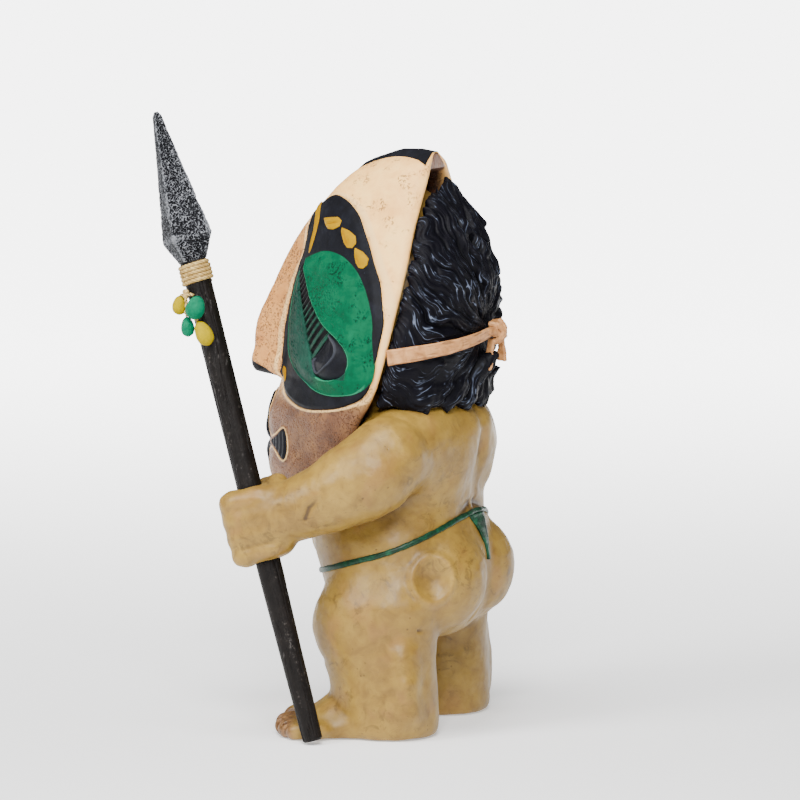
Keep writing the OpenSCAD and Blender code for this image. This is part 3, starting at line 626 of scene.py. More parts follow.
MAT = {
    "skin": skin_material(), "mask": mask_material(), "black": black_material(), "comb": comb_material(),
    "ball": black_material("ball_paint", "hook"), "green": green_material(), "hair": hair_material(),
    "yellow": gloss_material("yellow_paint", [(0.3, "#967000"), (0.7, "#a47c00")], "#7a4600", "shade"),
    "leaf_yellow": gloss_material("charm_yellow", [(0.3, "#948000"), (0.7, "#a69000")], "#645000", "shade"),
    "leaf_green": gloss_material("charm_green_paint", [(0.3, "#065c40"), (0.7, "#0d7452")], "#032a1c", "shade"),
    "strap": strap_material(), "twine": twine_material(), "thong": thong_material(),
    "shaft": shaft_material(), "stone": stone_material()}

# ---------------------------------------------------------------- the spear's own frame
SPEAR_LEAN, SPEAR_IN = math.radians(15.5), math.radians(1.5)
SHAFT_R, BUTT_R, COLLAR_R = 6.2, 4.9, 6.6
GRIP_PLAY = 0.14               # radial play of the shaft in the fist
FIST_LO, FIST_HI = 91, 128     # the fist's ends along the shaft
TAPER_L, GRIP_TOP_S, HEAD_S = 85, 132, 242.4   # heights along the shaft
butt = np.array([78, -19.6, BUTT_R * math.sin(SPEAR_LEAN) + 0.05])
SPEAR_R = turn_y(-SPEAR_IN) @ turn_x(SPEAR_LEAN)


def on_spear(abs_):
    """Points given as across, fore-and-aft and along the spear, in the figure's frame."""
    return np.atleast_2d(abs_) @ SPEAR_R.T + butt


def into_spear(x, y, z):
    dx, dy, dz = x - butt[0], y - butt[1], z - butt[2]
    return [dx * SPEAR_R[0, i] + dy * SPEAR_R[1, i] + dz * SPEAR_R[2, i] for i in range(3)]


# ---------------------------------------------------------------- skin
left_path = [[48, 12, 143, 18], [56, 11, 139.5, 20.3], [61, 6.5, 134.2, 20.6], [66, -2, 127.8, 19.3],
             [70, -14, 121, 17.5],
             [72.5, -26, 116, 15.8], [74, -38, 111.5, 14.5], [74.8, -50, 107.5, 13]]
right_path = [[-48, 10, 142, 17], [-56, 8, 139, 18.6], [-64.4, 5, 131, 17.8], [-69, -4, 120, 18.2],
              [-70, -12, 109, 16.7],
              [-67.5, -24, 101.5, 15], [-62, -35, 98, 13.5], [-57, -43, 96.5, 13.2], [-53.5, -48.5, 96, 12.6]]
fist_rows = [[0, 8.6, -9, 9], [1.5, 11.2, -11.6, 12.5], [5, 12.8, -13.6, 15], [9.2, 12.2, -12.9, 15.5],
             [13.5, 13.6, -14.2, 16],
             [18.5, 13, -13.5, 16], [23, 13.8, -14.4, 16], [28, 13.2, -13.7, 15.5], [32, 13.4, -13.8, 14.5],
             [35.5, 11.6, -12, 12], [37, 9, -9.2, 9.4]]
toes = [[41, -43, 6.6], [51, -44.5, 5.4], [58.5, -42.5, 5], [64.5, -38.5, 4.7], [69, -33, 4.4]]


def body_field():
    """The trunk, legs and feet, with their hollows; also a copy before the arms join."""
    f = Field((-96, -73, -4), (98, 62, 178), 0.8)
    body = f.blur(f.node("body_casting", 12), 1.9)
    # the hip runs smoothly into the thigh
    X, Z = np.abs(f.ax[0]).reshape(-1, 1, 1), f.ax[2].reshape(1, 1, -1)
    k = (smooth(64, 74, Z) * smooth(98, 88, Z) * smooth(36, 46, X)).astype(np.float32)
    f.d = (body * (1 - k) + f.blur(body, 5.5) * k).astype(np.float32)
    both = lambda pts: (pts, [[-p[0]] + list(p[1:]) for p in pts])
    # toes, each with its pad, and the grooves between them
    for side in (1, -1):
        for tx, ty, r in toes:
            f.blend("add", [[side * (tx - 1.5), ty + 12, r * 1.02, r * 0.95],
                            [side * tx, ty + 4, r * 1.08, r * 0.9],
                            [side * (tx + 0.3), ty + 0.6, r * 0.82, r * 0.96]], 1.3)
        for a, b in zip(toes[:-1], toes[1:]):
            gx, gy = (a[0] + b[0]) / 2, (a[1] + b[1]) / 2
            f.blend("cut", [[side * gx, gy - 4, 3, 0.9], [side * gx, gy - 2, 9.5, 1.0],
                            [side * (gx - 1), gy + 7, 11.4, 0.8]], 1.2)
    # cleft, fold under each buttock, spine, waist
    f.blend("cut", [[0, 44.5, 101, 0.8], [0, 47.5, 92, 1.4], [0, 49.5, 82, 1.8], [0, 47.5, 70, 1.6],
                    [0, 43, 60, 1.5], [0, 35, 52, 1.6]], 2.4)
    for p in both([[52, 26, 54.5, 0.8], [45, 34, 53, 1.9], [34, 39.5, 52.4, 2.4], [22, 40, 53.2, 2.4],
                   [12, 38.8, 54.6, 1.6]]):
        f.blend("cut", p, 1.8)
    f.blend("cut", [[0, 40.5, 168, 6], [0, 44.5, 158, 7], [0, 45.6, 140, 7.4], [0, 44.2, 124, 7.4],
                    [0, 42.2, 110, 6], [0, 43.5, 103, 3]], 3.5)
    for p in both([[9, 42, 150, 9], [16, 40, 140, 12], [20, 37, 128, 10]]):
        f.blend("add", [[q[0], q[1] - q[3] - 0.6, q[2], q[3]] for q in p], 7)
    for p in both([[4, 35.6, 112, 1], [20, 37.5, 108, 1.2], [38, 33, 106, 0.9]]):
        f.blend("cut", p, 5)
    # crease over each knee, swell of each calf, navel, belly
    for p in both([[18, -22, 37.5, 0.8], [30, -29.3, 36.5, 1.3], [44, -29.6, 36, 1.3], [56, -24, 37.5, 0.9]]):
        f.blend("cut", p, 3)
    for p in both([[54, 18, 40, 6], [56, 20, 28, 6], [55, 20, 14, 6]]):
        f.blend("add", p, 8)
    f.blend("cut", [[0, -46.5, 97, 2.2], [0, -42, 96.5, 1.6]], 2)
    f.blend("add", [[-9, -37, 92, 8], [9, -37, 92, 8]], 8)
    bare = copy.copy(f)
    bare.d = f.d.copy()
    return f, bare


def add_left_arm(f):
    """Joins the left arm and its fist. Returns their cells, the spear's bore, and where skin is the arm's."""
    sl, (x, y, z) = f.box((20, -72.5, 84), (98, 40, 170))
    arm = chain(x, y, z, np.array(left_path, float))
    a, b, c = into_spear(x, y, z)
    rows = row_at(fist_rows, np.clip(c - FIST_LO, 0, FIST_HI - FIST_LO))
    w, fr, ba = (rows[..., i].astype(np.float32) for i in (1, 2, 3))
    q = (np.abs(a / w) ** 2.5 + np.abs((b - (fr + ba) / 2) / ((ba - fr) / 2)) ** 2.5) ** (1 / 2.5)
    fist = (q - 1) * np.minimum(w, (ba - fr) / 2)
    fist = smax(smax(fist, FIST_LO - c, 4), c - FIST_HI, 3.4)
    arm = smin(arm, fist.astype(np.float32), 4)
    tmp = f.part(sl, arm)
    sp = lambda pts: [list(on_spear(p[:3])[0]) + [p[3]] for p in pts]
    for s0 in (99.6, 109, 118.4):
        ring = [(14.6 * math.cos(t) * 0.97, 14.8 * math.sin(t), s0, 0.45)
                for t in np.radians(np.arange(-52, -232, -12))]
        tmp.blend("cut", sp(ring), 1.3, 3)
    for i, s0 in enumerate((95.5, 104.5, 113.8, 122.6)):
        tmp.blend("add", sp([(7.2, -9.4, s0, 4.2), (4, -10.4, s0, 3.9)]), 6.5, 4)
        tmp.blend("add", sp([(-9.5, 2.5, s0, 4.0), (-8.6, 6.5, s0 + 0.4, 4.0)]), 2.4, 3)
    tmp.blend("add", sp([(2, 14, 121, 5.2), (-7, 12.5, 126.5, 4.8), (-12.5, 4, 126.8, 4.4), (-12, -4, 125, 4)]),
              1.8, 4)
    tmp.blend("cut", sp([(14.6, 12, 101, 0.5), (14.8, 16, 109, 0.9), (14, 19, 118, 0.4)]), 3.4, 3)
    tmp.blend("add", [[66.5, 4, 130, 16.6], [69.5, -3, 127.5, 15.4]], 9, 3)
    tmp.blend("cut", [[88.5, -14, 121.5, 0.4], [87.6, -18, 117.5, 0.9], [86.5, -20, 112, 0.4]], 3, 3)
    a, b, c = into_spear(*[v.reshape([-1 if j == i else 1 for j in range(3)]) for i, v in enumerate(tmp.ax)])
    hole = np.where((c > 80) & (c < 140), np.sqrt(a * a + b * b) - (SHAFT_R + GRIP_PLAY), 9).astype(np.float32)
    left_body, left_arm = f.d[sl].copy(), tmp.d.copy()
    is_left = np.full(f.n, -9, np.float32)
    is_left[sl] = left_body - left_arm
    high = smooth(112, 132, f.ax[2][sl[2]]).reshape(1, 1, -1).astype(np.float32)
    f.d[sl] = smin(left_body, left_arm, 5.5) * (1 - high) + smin(left_body, left_arm, 15) * high
    f.blend("cut", [[66, 17, 117, 0.3], [67, 12, 115.5, 0.7], [66, 5, 111, 1.1], [62, -8, 106, 0.8]], 2.4)
    f.d[sl] = np.maximum(f.d[sl], -hole)
    return sl, hole, is_left


def add_right_arm(f):
    """Joins the right arm, bent across to a closed hand. Returns where skin is the arm's."""
    sl, (x, y, z) = f.box((-96, -72.5, 72), (-20, 40, 170))
    arm = chain(x, y, z, np.array(right_path, float))
    tmp = f.part(sl, arm)
    for i in range(4):
        dz = 9 - 6.4 * i
        tmp.blend("add", [[-61 + i * 0.6, -51.5, 97 + dz, 4.6], [-51 + i * 0.5, -56.5, 96.5 + dz, 4.5],
                          [-43.5, -52.5, 96.5 + dz * 0.9, 4.1]], 1.3, 3)
    tmp.blend("add", [[-52, -40, 108, 4.6], [-45, -45.5, 108, 4.5], [-42, -51.5, 105, 4.2]], 1.8, 3)
    tmp.blend("cut", [[-75, -20, 88, 0.5], [-78, -18, 96, 0.8]], 3, 3)
    is_right = np.full(f.n, -9, np.float32)
    is_right[sl] = f.d[sl] - tmp.d
    f.d[sl] = smin(f.d[sl], tmp.d, 5)
    return is_right


def add_dimples(f):
    """A dimple on each side of the seat, a soft ring round a hollow."""
    for side in (1, -1):
        c0 = f.snap([[side * 47.5, 32, 79.5]])[0]
        n0 = f.normal(c0[None])[0]
        u0 = unit(np.cross(n0, [0, 0, 1]))
        v0 = np.cross(n0, u0)
        ring = [list(f.snap([c0 + 9.4 * math.cos(t) * u0 + 11.4 * math.sin(t) * v0])[0] - n0 * 0.5) + [2.0]
                for t in np.linspace(0, 2 * PI, 25)]
        f.blend("add", ring, 3.0, 3)
        f.blend("cut", [list(c0 + n0 * 10.2) + [12.6]], 2.6, 3)


def build_skin():
    f, bare = body_field()
    grip, hole, is_left = add_left_arm(f)
    is_right = add_right_arm(f)
    add_dimples(f)
    z = f.ax[2].reshape(1, 1, -1)
    f.d = np.maximum(f.d, -z)
    # faint unevenness of a hand-sculpted surface
    band = np.abs(f.d) < 3
    idx = np.argwhere(band)
    p = idx * f.h + f.lo
    f.d[band] += 0.22 * noise(p / 9, 3) + 0.1 * noise(p / 3.6, 4)
    f.d[grip] = np.maximum(f.d[grip], -hole)   # the unevenness must not reach into the bore
    f.d = np.maximum(f.d, -z)
    v, q = f.mesh()
    nrm = f.normal(v, 0.7)
    # how enclosed each point is: fine creases take the brown wash and painted shade, broad hollows take painted
    # shade
    c1, c2 = cavity(f, v, 1.3), cavity(f, v, 4.5)
    fc = v[q].mean(1)
    left = (f.sample(fc, is_left) > 0) & (fc[:, 0] > 45)
    right = (f.sample(fc, is_right) > 0) & (fc[:, 0] < -45)
    kind = np.where(left, 1, np.where(right, 2, 0))
    toe = 0.85 * smooth(-31, -37, v[:, 1] + 0.25 * (66 - np.abs(v[:, 0]))) * smooth(13, 9,
            v[:, 2] + 1.5 * noise(v / 4, 7))
    for k, name, node in ((0, "body_skin", "body_casting"), (1, "left_arm_skin", "left_arm"),
                          (2, "right_arm_skin", "right_arm")):
        faces = q[kind == k]
        used, inv = np.unique(faces, return_inverse=True)
        vv = v[used].copy()
        vv[:, 2] = np.maximum(vv[:, 2], 0)
        vv[:, 0] = np.maximum(vv[:, 0], -86.7)   # the CAD box ends at -86.8
        add(name, vv, inv.reshape(-1, 4), "figure", [node], MAT["skin"],
            {"cav1": c1[used], "broad_shade": c2[used], "toe": toe[used]}, nrm[used])
    return bare


bare = build_skin()   # the body without its arms, which the thong is laid on


# ---------------------------------------------------------------- mask surface, as in the CAD file
MASK_W = 60.5
mask_rows = [
    [104, 0.215, -46, -58, 1.9, 0, 12, -46.5], [112, 0.446, -38, -64, 1.9, 0, 12, -52],
    [125, 0.678, -28, -69, 1.8, 0, 12, -61], [139, 0.826, -12, -70.5, 1.6, 0, 12, -63],
    [155, 0.926, -5, -71, 1.5, 0, 13, -63], [165, 0.975, 1.5, -68, 1.43, 0, 14, -60],
    [171, 0.992, 4.5, -66, 1.4, 0.04, 15.5, -58], [174.5, 0.998, 6, -65, 1.38, 0.86, 16, -57],
    [187, 1, 9.8, -63, 1.37, 1, 14, -55], [200, 0.97, 12.5, -62, 1.38, 0.94, 13, -54],
    [217, 0.893, 15.3, -59.5, 1.42, 0.64, 12, -51], [232, 0.793, 17, -56, 1.5, 0.42, 11, -47],
    [250, 0.62, 17.2, -48.5, 1.65, 0.19, 10, -38.5], [266, 0.425, 17.5, -38, 1.9, 0, 10, -26],
    [276, 0.291, 17.4, -26, 2, 0, 10, -6], [281.5, 0.215, 17, -15.5, 2, 0, 10, 16.5],
    [286.3, 0.066, 16, -1, 2, 0, 10, 15.6]]


def mask_y(x, z):
    r = row_at(mask_rows, z)
    u = np.minimum(np.abs(x) / (r[..., 1] * MASK_W), 1)
    v = np.minimum(np.abs(x) / r[..., 6], 1)
    return r[..., 2] - (r[..., 2] - r[..., 3]) * (1 - u ** r[..., 4]) ** (1
            / r[..., 4]) - 18 * np.maximum(r[..., 5], 0) * (1 - v * v) ** 2


def on_mask(x, z, lift):
    x, z = np.asarray(x, float), np.asarray(z, float)
    e = 0.4
    fx = (mask_y(x + e, z) - mask_y(x - e, z)) / (2 * e)
    fz = (mask_y(x, z + e) - mask_y(x, z - e)) / (2 * e)
    n = unit(np.stack([fx, -np.ones_like(fx), fz], -1))
    return np.stack([x, mask_y(x, z), z], -1) + np.asarray(lift)[..., None] * n


def half_w(z):
    return row_at(mask_rows, z)[..., 1] * MASK_W


def segment_dist(p, s, e):
    """Distance from points p (N, 2) to the segment from s to e."""
    d = e - s
    t = np.clip(((p - s) @ d) / max(d @ d, 1e-9), 0, 1)
    return np.linalg.norm(p - s - t[:, None] * d, axis=1)


def outline_dist(px, pz, outline):
    """Distance from points to a closed outline in x and z; negative inside."""
    a = np.asarray(outline, float)
    b = np.roll(a, -1, axis=0)
    p = np.stack([np.asarray(px, float).ravel(), np.asarray(pz, float).ravel()], 1)
    out = np.full(len(p), 1e9)
    inside = np.zeros(len(p), bool)
    for s, e in zip(a, b):
        out = np.minimum(out, segment_dist(p, s, e))
        cross = ((s[1] > p[:, 1]) != (e[1] > p[:, 1]))
        xi = s[0] + (p[:, 1] - s[1]) / np.where(abs(e[1] - s[1]) < 1e-9, 1e-9, e[1] - s[1]) * (e[0] - s[0])
        inside ^= cross & (p[:, 0] < xi)
    return np.where(inside, -out, out).reshape(np.shape(px))


surround_pts = [[11.8, 264.4], [6.6, 260.6], [4.2, 255.6], [6.1, 249.2], [9.3, 241.8], [11.6, 235.4],
                [10.4, 228.6], [9.9, 222], [10, 213.3],
                [10.2, 203.9], [10.4, 194.4], [11.2, 183.6], [13, 173.4], [21, 166.7], [31.1, 163],
                [39.4, 160.9], [46, 160.8], [52.6, 162.5],
                [56.6, 165.4], [58.6, 168.4], [59.8, 173.8], [59.9, 184.1], [59.4, 191.5], [57.8, 200.9],
                [55.2, 209.8], [48.9, 224.6],
                [40.3, 238.5], [32.1, 249.8], [25.3, 257.7], [18.2, 263]]
dish_pts = [[17.4, 232.8], [21.3, 235.8], [26.5, 238], [32.3, 237.3], [37.8, 234], [43.3, 228.3], [48.1, 221],
            [52.6, 212.4], [56.1, 203.6],
            [58.6, 194], [60.15, 184.1], [59.9, 175], [58, 170.2], [54, 168.3], [49.5, 167.8], [44, 168.9],
            [36.9, 172], [28, 176.2], [19.6, 181.8],
            [14.2, 188.4], [12.6, 197.4], [12.2, 207], [12.5, 216], [14.2, 225]]
s_line = [[17.6, 232.8], [21.2, 227.5], [25.2, 221.5], [29.8, 214.3], [34.8, 208], [39.4, 202.9], [43.5, 199.6],
          [47.8, 196.2],
          [51.7, 192], [54, 187.3], [54.6, 182.6], [53.2, 178.4], [49.8, 175.8], [45.4, 175.6], [41.4, 177.6]]
left_edge = [[16.2, 229.5], [16.8, 224], [20.2, 217], [24.8, 208.4], [29.5, 200.4], [33.1, 193], [36.5, 187],
             [38.6, 182.6], [41.4, 177.6]]
mouth_pts = [[0, 165], [6, 162.5], [9, 155], [9.5, 147], [18, 142.5], [18, 139.5], [9.5, 135], [9, 127],
             [6, 118], [0, 115.5],
             [-6, 118], [-9, 127], [-9.5, 135], [-18, 139.5], [-18, 142.5], [-9.5, 147], [-9, 155], [-6, 162.5]]
flare_pts = [[17, 142.2], [23, 144.5], [30, 148.5], [31.5, 141], [31, 133.5], [23, 137.5], [17, 139.8]]
drop_shapes = [
    [[16.8, 253.0], [19.4, 253.6], [22.6, 254.1], [24.8, 252.6], [25.8, 249.8], [24.6, 248], [22.2, 248],
     [19.6, 250], [17.6, 252]],
    [[26.9, 249.3], [29.9, 248.1], [33.1, 245.6], [35.2, 242.2], [35.4, 239.9], [33.9, 239.9], [31.8, 242],
     [29.4, 245.2], [27.7, 247.6]],
    [[36, 240.2], [38.9, 238.5], [41.6, 235.6], [43, 232.4], [42.9, 230.6], [41.8, 230.8], [40, 233],
     [38, 236.2], [36.6, 238.8]]]
cheek_shape = [[13.4, 178.2], [14.8, 177.4], [17, 174.4], [18.8, 171.4], [18, 171], [15.6, 172.4], [13.8, 175]]
brow_shape = [[6.2, 260.2], [9.8, 257], [14.2, 251.4], [16.4, 246.2], [17.8, 240.8], [18.4, 236.2],
              [17.2, 236.2], [15.4, 242.6], [13, 247.6], [9.4, 252.4], [6, 256.4], [5.2, 258.6]]


def plate(outline, centre, lift, base=-0.4, around=220, rings=None, sharp=False):
    """A raised plate on the mask. lift(x, z, s) is its height; s is 0 at the centre, 1 at the rim."""
    p = spline(outline, around, True)
    if sharp:
        p = np.array([q for a, b in zip(outline, outline[1:] + outline[:1])
                      for q in np.linspace(a, b, around // len(outline), endpoint=False)])
        p = (np.roll(p, 1, 0) + 2 * p + np.roll(p, -1, 0)) / 4
        around = len(p)
    lim = half_w(p[:, 1]) - 0.14
    p[:, 0] = np.clip(p[:, 0], -lim, lim)
    s = np.linspace(1, 0.012, 46) if rings is None else rings
    s = np.concatenate([[1.0], s])
    q = np.array(centre)[None, None] + s[:, None, None] * (p - centre)[None]
    h = lift(q[..., 0], q[..., 1], s[:, None] * np.ones(len(p)))
    h[0] = base
    v = on_mask(q[..., 0], q[..., 1], h)
    f = grid(around, len(s), True)
    area = np.sum(np.cross(p, np.roll(p, -1, 0)))
    f = f.tolist() + [[(len(s) - 1) * around + i for i in range(around)]]
    if area > 0:
        f = flip(f)
    return v.reshape(-1, 3), f, q.reshape(-1, 2), s.repeat(around)


# ---------------------------------------------------------------- mask shell
def rows_of(z):
    r = row_at(mask_rows, z)
    return r[..., 1] * MASK_W, r[..., 2], r[..., 7], r[..., 4]


def build_mask():
    nz, nu = ((330, 300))
    z = np.concatenate([np.linspace(104, 170, int(nz * 0.34), endpoint=False),
                        np.linspace(170, 176, int(nz * 0.1), endpoint=False),
                        np.linspace(176, 286.3, nz - int(nz * 0.44))])
    t = np.linspace(-1, 1, nu)
    t = np.sign(t) * np.abs(t) ** 1.22
    Z = z[:, None] * np.ones(nu)
    w, rim = rows_of(Z)[:2]
    X = w * t[None]
    # carved relief: pits, the groove and pale lip round each black panel, nose wings and nostrils
    P = np.stack([X, Z * 0 + 3, Z], -1).reshape(-1, 3)
    lift = 0.35 * noise(P / 14, 21) + 0.14 * noise(P / 5, 22)
    d_eye = np.minimum(outline_dist(X, Z, spline(surround_pts, 90, True)),
                       outline_dist(-X, Z, spline(surround_pts, 90, True))).ravel()
    d_mouth = np.minimum(outline_dist(X, Z, spline(mouth_pts, 70, True)),
                         np.minimum(outline_dist(X, Z, spline(flare_pts, 40, True)),
                                    outline_dist(-X, Z, spline(flare_pts, 40, True)))).ravel()
    lip = np.exp(-((d_eye - 0.95) / 0.75) ** 2)
    lift += 0.55 * lip - 0.35 * smooth(0.8, -0.2, d_eye)
    lipm = np.exp(-((d_mouth - 0.8) / 0.6) ** 2)
    lift += 0.8 * lipm - 0.3 * smooth(0.8, -0.2, d_mouth)
    x, zz = X.ravel(), Z.ravel()
    # lips bulge round the mouth; cheek swells
    lift += 1.6 * np.exp(-(((np.abs(x) - 16) / 9) ** 2 + ((zz - 141) / 17) ** 2))
    wing = np.exp(-(((np.abs(x) - 11.5) / 2.6) ** 2 + ((zz - 178.5) / 4.2) ** 2))
    lift += 1.7 * wing
    arch = 174.6 + 6 * np.clip(1 - np.abs(x) / 8.5, 0, 1) ** 0.8
    under = smooth(arch + 0.5, arch - 0.5, zz) * smooth(170.4, 171.2, zz) * smooth(9.8, 7.6, np.abs(x))
    nost = np.exp(-(((np.abs(x) - 6.2) / 3.0) ** 2)) * under
    lift -= 3.4 * nost
    pits = np.maximum(0, noise(P / 1.5, 31) - 0.28) * smooth(-0.1, 0.35,
            noise(P / 13, 32) + 0.35 * smooth(170, 150, zz) + 0.25 * (np.abs(x) < 14))
    lift -= 0.35 * pits
    edge = smooth(0.965, 1.0, np.abs(t))[None].repeat(len(z), 0).ravel()
    lift *= 1 - edge
    lift = np.minimum(lift, 1.2)
    outer = on_mask(X, Z, lift.reshape(X.shape))
    # round the rim over and keep the last column on the wall's edge
    outer[:, 0], outer[:, -1] = np.stack([-w[:, 0], rim[:, 0], z], -1), np.stack([w[:, 0], rim[:, 0], z], -1)
    bev = 1.1 * np.sqrt(np.clip(1 - np.clip((1 - np.abs(t)) / 0.03, 0, 1), 0, 1))[None] ** 2
    outer[..., 0] -= np.sign(X) * bev * 0.9
    # inside wall
    zi = z[::2]
    ni = 90
    ti = np.linspace(1, -1, ni)
    wi, ri, di, en = rows_of(zi[:, None] * np.ones(ni))
    win = np.maximum(wi - 5, 0.6 * wi)
    hollow = smooth(107.5, 111, zi)[:, None] * smooth(278.5, 275.5, zi)[:, None]
    di = ri - (ri - np.minimum(di, ri - 0.3)) * hollow
    XI = win * ti[None]
    YI = ri - (ri - di) * (1 - np.abs(ti[None]) ** en) ** (1 / en)
    P_in = np.stack([XI, YI, zi[:, None] * np.ones(ni)], -1).reshape(-1, 3)
    YI = YI + (0.3 * noise(P_in / 6, 41) + 0.25 * noise(P_in / 2.4, 42)).reshape(YI.shape) * (1
            - np.abs(ti[None]) ** 6)
    inner = np.stack([XI, YI, zi[:, None] * np.ones(ni)], -1)
    # stitch: outer columns, then the rim strip, then the inner columns
    full_i = np.stack([np.stack([np.interp(z, zi, inner[:, j, k]) for k in range(3)], -1) for j in range(ni)],
                      1)
    m1 = full_i[:, 0] * 0.5 + outer[:, -1] * 0.5 + [0, 0.45, 0]
    m2 = full_i[:, -1] * 0.5 + outer[:, 0] * 0.5 + [0, 0.45, 0]
    ring = np.concatenate([outer, m1[:, None], full_i, m2[:, None]], 1)
    ring[..., 1] = np.minimum(ring[..., 1], 18)
    k = ring.shape[1]
    f = capped(k, len(z))
    n_in = np.zeros(ring.shape[:2])
    n_in[:, nu:] = 1
    n_in[:, [nu, nu + 1, -2, -1]] = 0
    outside = lambda a: np.concatenate([np.asarray(a).reshape(len(z), nu), np.zeros((len(z), k - nu))],
                                       1).ravel()
    # the lower part of the mask, painted darker as shade
    shaded_jaw = smooth(176, 160, ring[..., 2]).ravel()
    # the middle of the face, painted darker and warmer: partly a warm cast, partly painted shade
    nose = outside((np.abs(X) < 13.5) * smooth(268, 245, Z) * smooth(168, 173, Z))
    add("mask", ring.reshape(-1, 3), f, "figure", ["mask_shell"], MAT["mask"],
        {"inside": n_in.ravel(), "shaded_jaw": shaded_jaw, "nose": nose, "lip": outside(np.maximum(lip, lipm)),
         "black": outside(under)})


build_mask()


# ---------------------------------------------------------------- eyes
def panel_lift(outline, h, soft=1.3):
    o = spline(outline, 90, True)

    def lift(x, z, s):
        d = -outline_dist(x, z, o)
        k = smooth(0, soft, d)
        return h * (0.45 + 0.55 * k) + 0.12 * noise_at(x, 5, z, 5, 51) * k
    return lift


def dish_lift(x, z, s):
    """Green dome: a raised right part behind the S line, a lower left part, a recess between."""
    d = -outline_dist(x, z, spline(dish_pts, 100, True))
    rec = comb_depth(x, z)
    at = lambda size, seed: noise_at(x, 5, z, size, seed)
    right = right_of(x, z)
    dome = 1.5 + 2.0 * smooth(0, 7, d)
    dome = dome + (0.13 * at(3.5, 61) + 0.07 * at(1.3, 62)) * smooth(0, 2, d)
    dim = np.maximum(0, at(1.1, 65) - 0.1) * smooth(-0.15, 0.25, at(9, 66))
    dome = dome - 0.45 * dim * smooth(0.6, 2.5, d)
    ds = line_dist(x, z, spline(s_line, 80))
    dome = dome + 0.45 * right * np.exp(-(ds / 3.2) ** 2) + 0.4 * np.exp(-((ds - 0.35) / 0.45) ** 2) * right
    bead = np.exp(-((d - 0.7) / 0.5) ** 2) * smooth(30, 16, x - (z - 175) * 0.05) * smooth(232, 222, z)
    bead = np.maximum(bead, np.exp(-((d - 0.7) / 0.5) ** 2) * smooth(186, 176, z) * smooth(50, 40, x))
    return (dome + 0.5 * bead) * smooth(-0.2, 0.7, d) - 3.0 * rec * (d > 0)


def line_dist(x, z, line):
    """Distance from points to an open line in x and z."""
    p = np.stack([np.asarray(x).ravel(), np.asarray(z).ravel()], 1)
    out = np.full(len(p), 1e9)
    for s, e in zip(line[:-1], line[1:]):
        out = np.minimum(out, segment_dist(p, s, e))
    return out.reshape(np.shape(x))


comb_outline = np.concatenate([spline(s_line, 60), spline(left_edge, 40)[::-1]])


def comb_depth(x, z):
    return smooth(0.25, -0.55, outline_dist(x, z, comb_outline))


def right_of(x, z):
    """1 on the side of the S line towards the cheek and below the ball."""
    sp = spline(s_line, 60)
    zz = np.clip(z, sp[:, 1].min(), sp[:, 1].max())
    order = np.argsort(sp[:42, 1])
    xs = np.interp(zz, sp[:42, 1][order], sp[:42, 0][order])
    r = smooth(-0.3, 0.3, x - xs)
    return np.where(z < 176.5, smooth(38, 46, x), r)


def comb_lift(x, z, s):
    """Slanting ribs that widen towards the ball."""
    d = -outline_dist(x, z, comb_outline)
    return 1.7 + 1.1 * rib_wave(x, z) * smooth(0, 0.7, d)


def rib_wave(x, z):
    # distance down the recess, from the narrow upper end
    a, b = np.array([17.5, 230.0]), np.array([41, 187.0])
    d = (b - a) / np.linalg.norm(b - a)
    n = np.array([-d[1], d[0]])
    al = (x - a[0]) * d[0] + (z - a[1]) * d[1]
    ac = (x - a[0]) * n[0] + (z - a[1]) * n[1]
    t = al + 0.75 * ac
    phase = 2 * PI * (t / 2.35 - 0.006 * t * t / 2.35)
    return smooth(-0.35, 0.45, np.sin(phase)) * smooth(-3, 2, al)


ball_outline = spline([[43.8, 198.6], [47.8, 195.8], [51.5, 191.8], [53.8, 187.2], [54.2, 182.6], [52.9, 178.6],
                       [49.6, 176.1], [45.4, 175.9],
                       [41.6, 177.8], [39, 181.8], [37.6, 185], [40, 187.4], [42.6, 191.6]], 110, True)
ball_outline = ball_outline + 0.7 * unit(ball_outline - [46, 186])
hook_line = spline([[44.0, 197.2], [47.6, 193.6], [49.3, 189.4], [48.9, 185.4], [46.6, 181.4], [43.6, 178.7],
                    [41.2, 179.4], [39.9, 182.4], [40.4, 185.2]], 70)


def ball_lift(x, z, s):
    d = -outline_dist(x, z, ball_outline)
    dome = 2.0 + 3.4 * (1 - (1 - np.clip(d / 9.2, 0, 1)) ** 2)
    h = line_dist(x, z, hook_line)
    inner = smooth(0.6, -0.6, outline_dist(x, z, np.concatenate([hook_line, [[42.5, 190]]])))
    return dome + 0.75 * np.exp(-(h / 0.7) ** 2) * smooth(0, 0.8, d) - 0.8 * inner * smooth(0, 1.5, d)


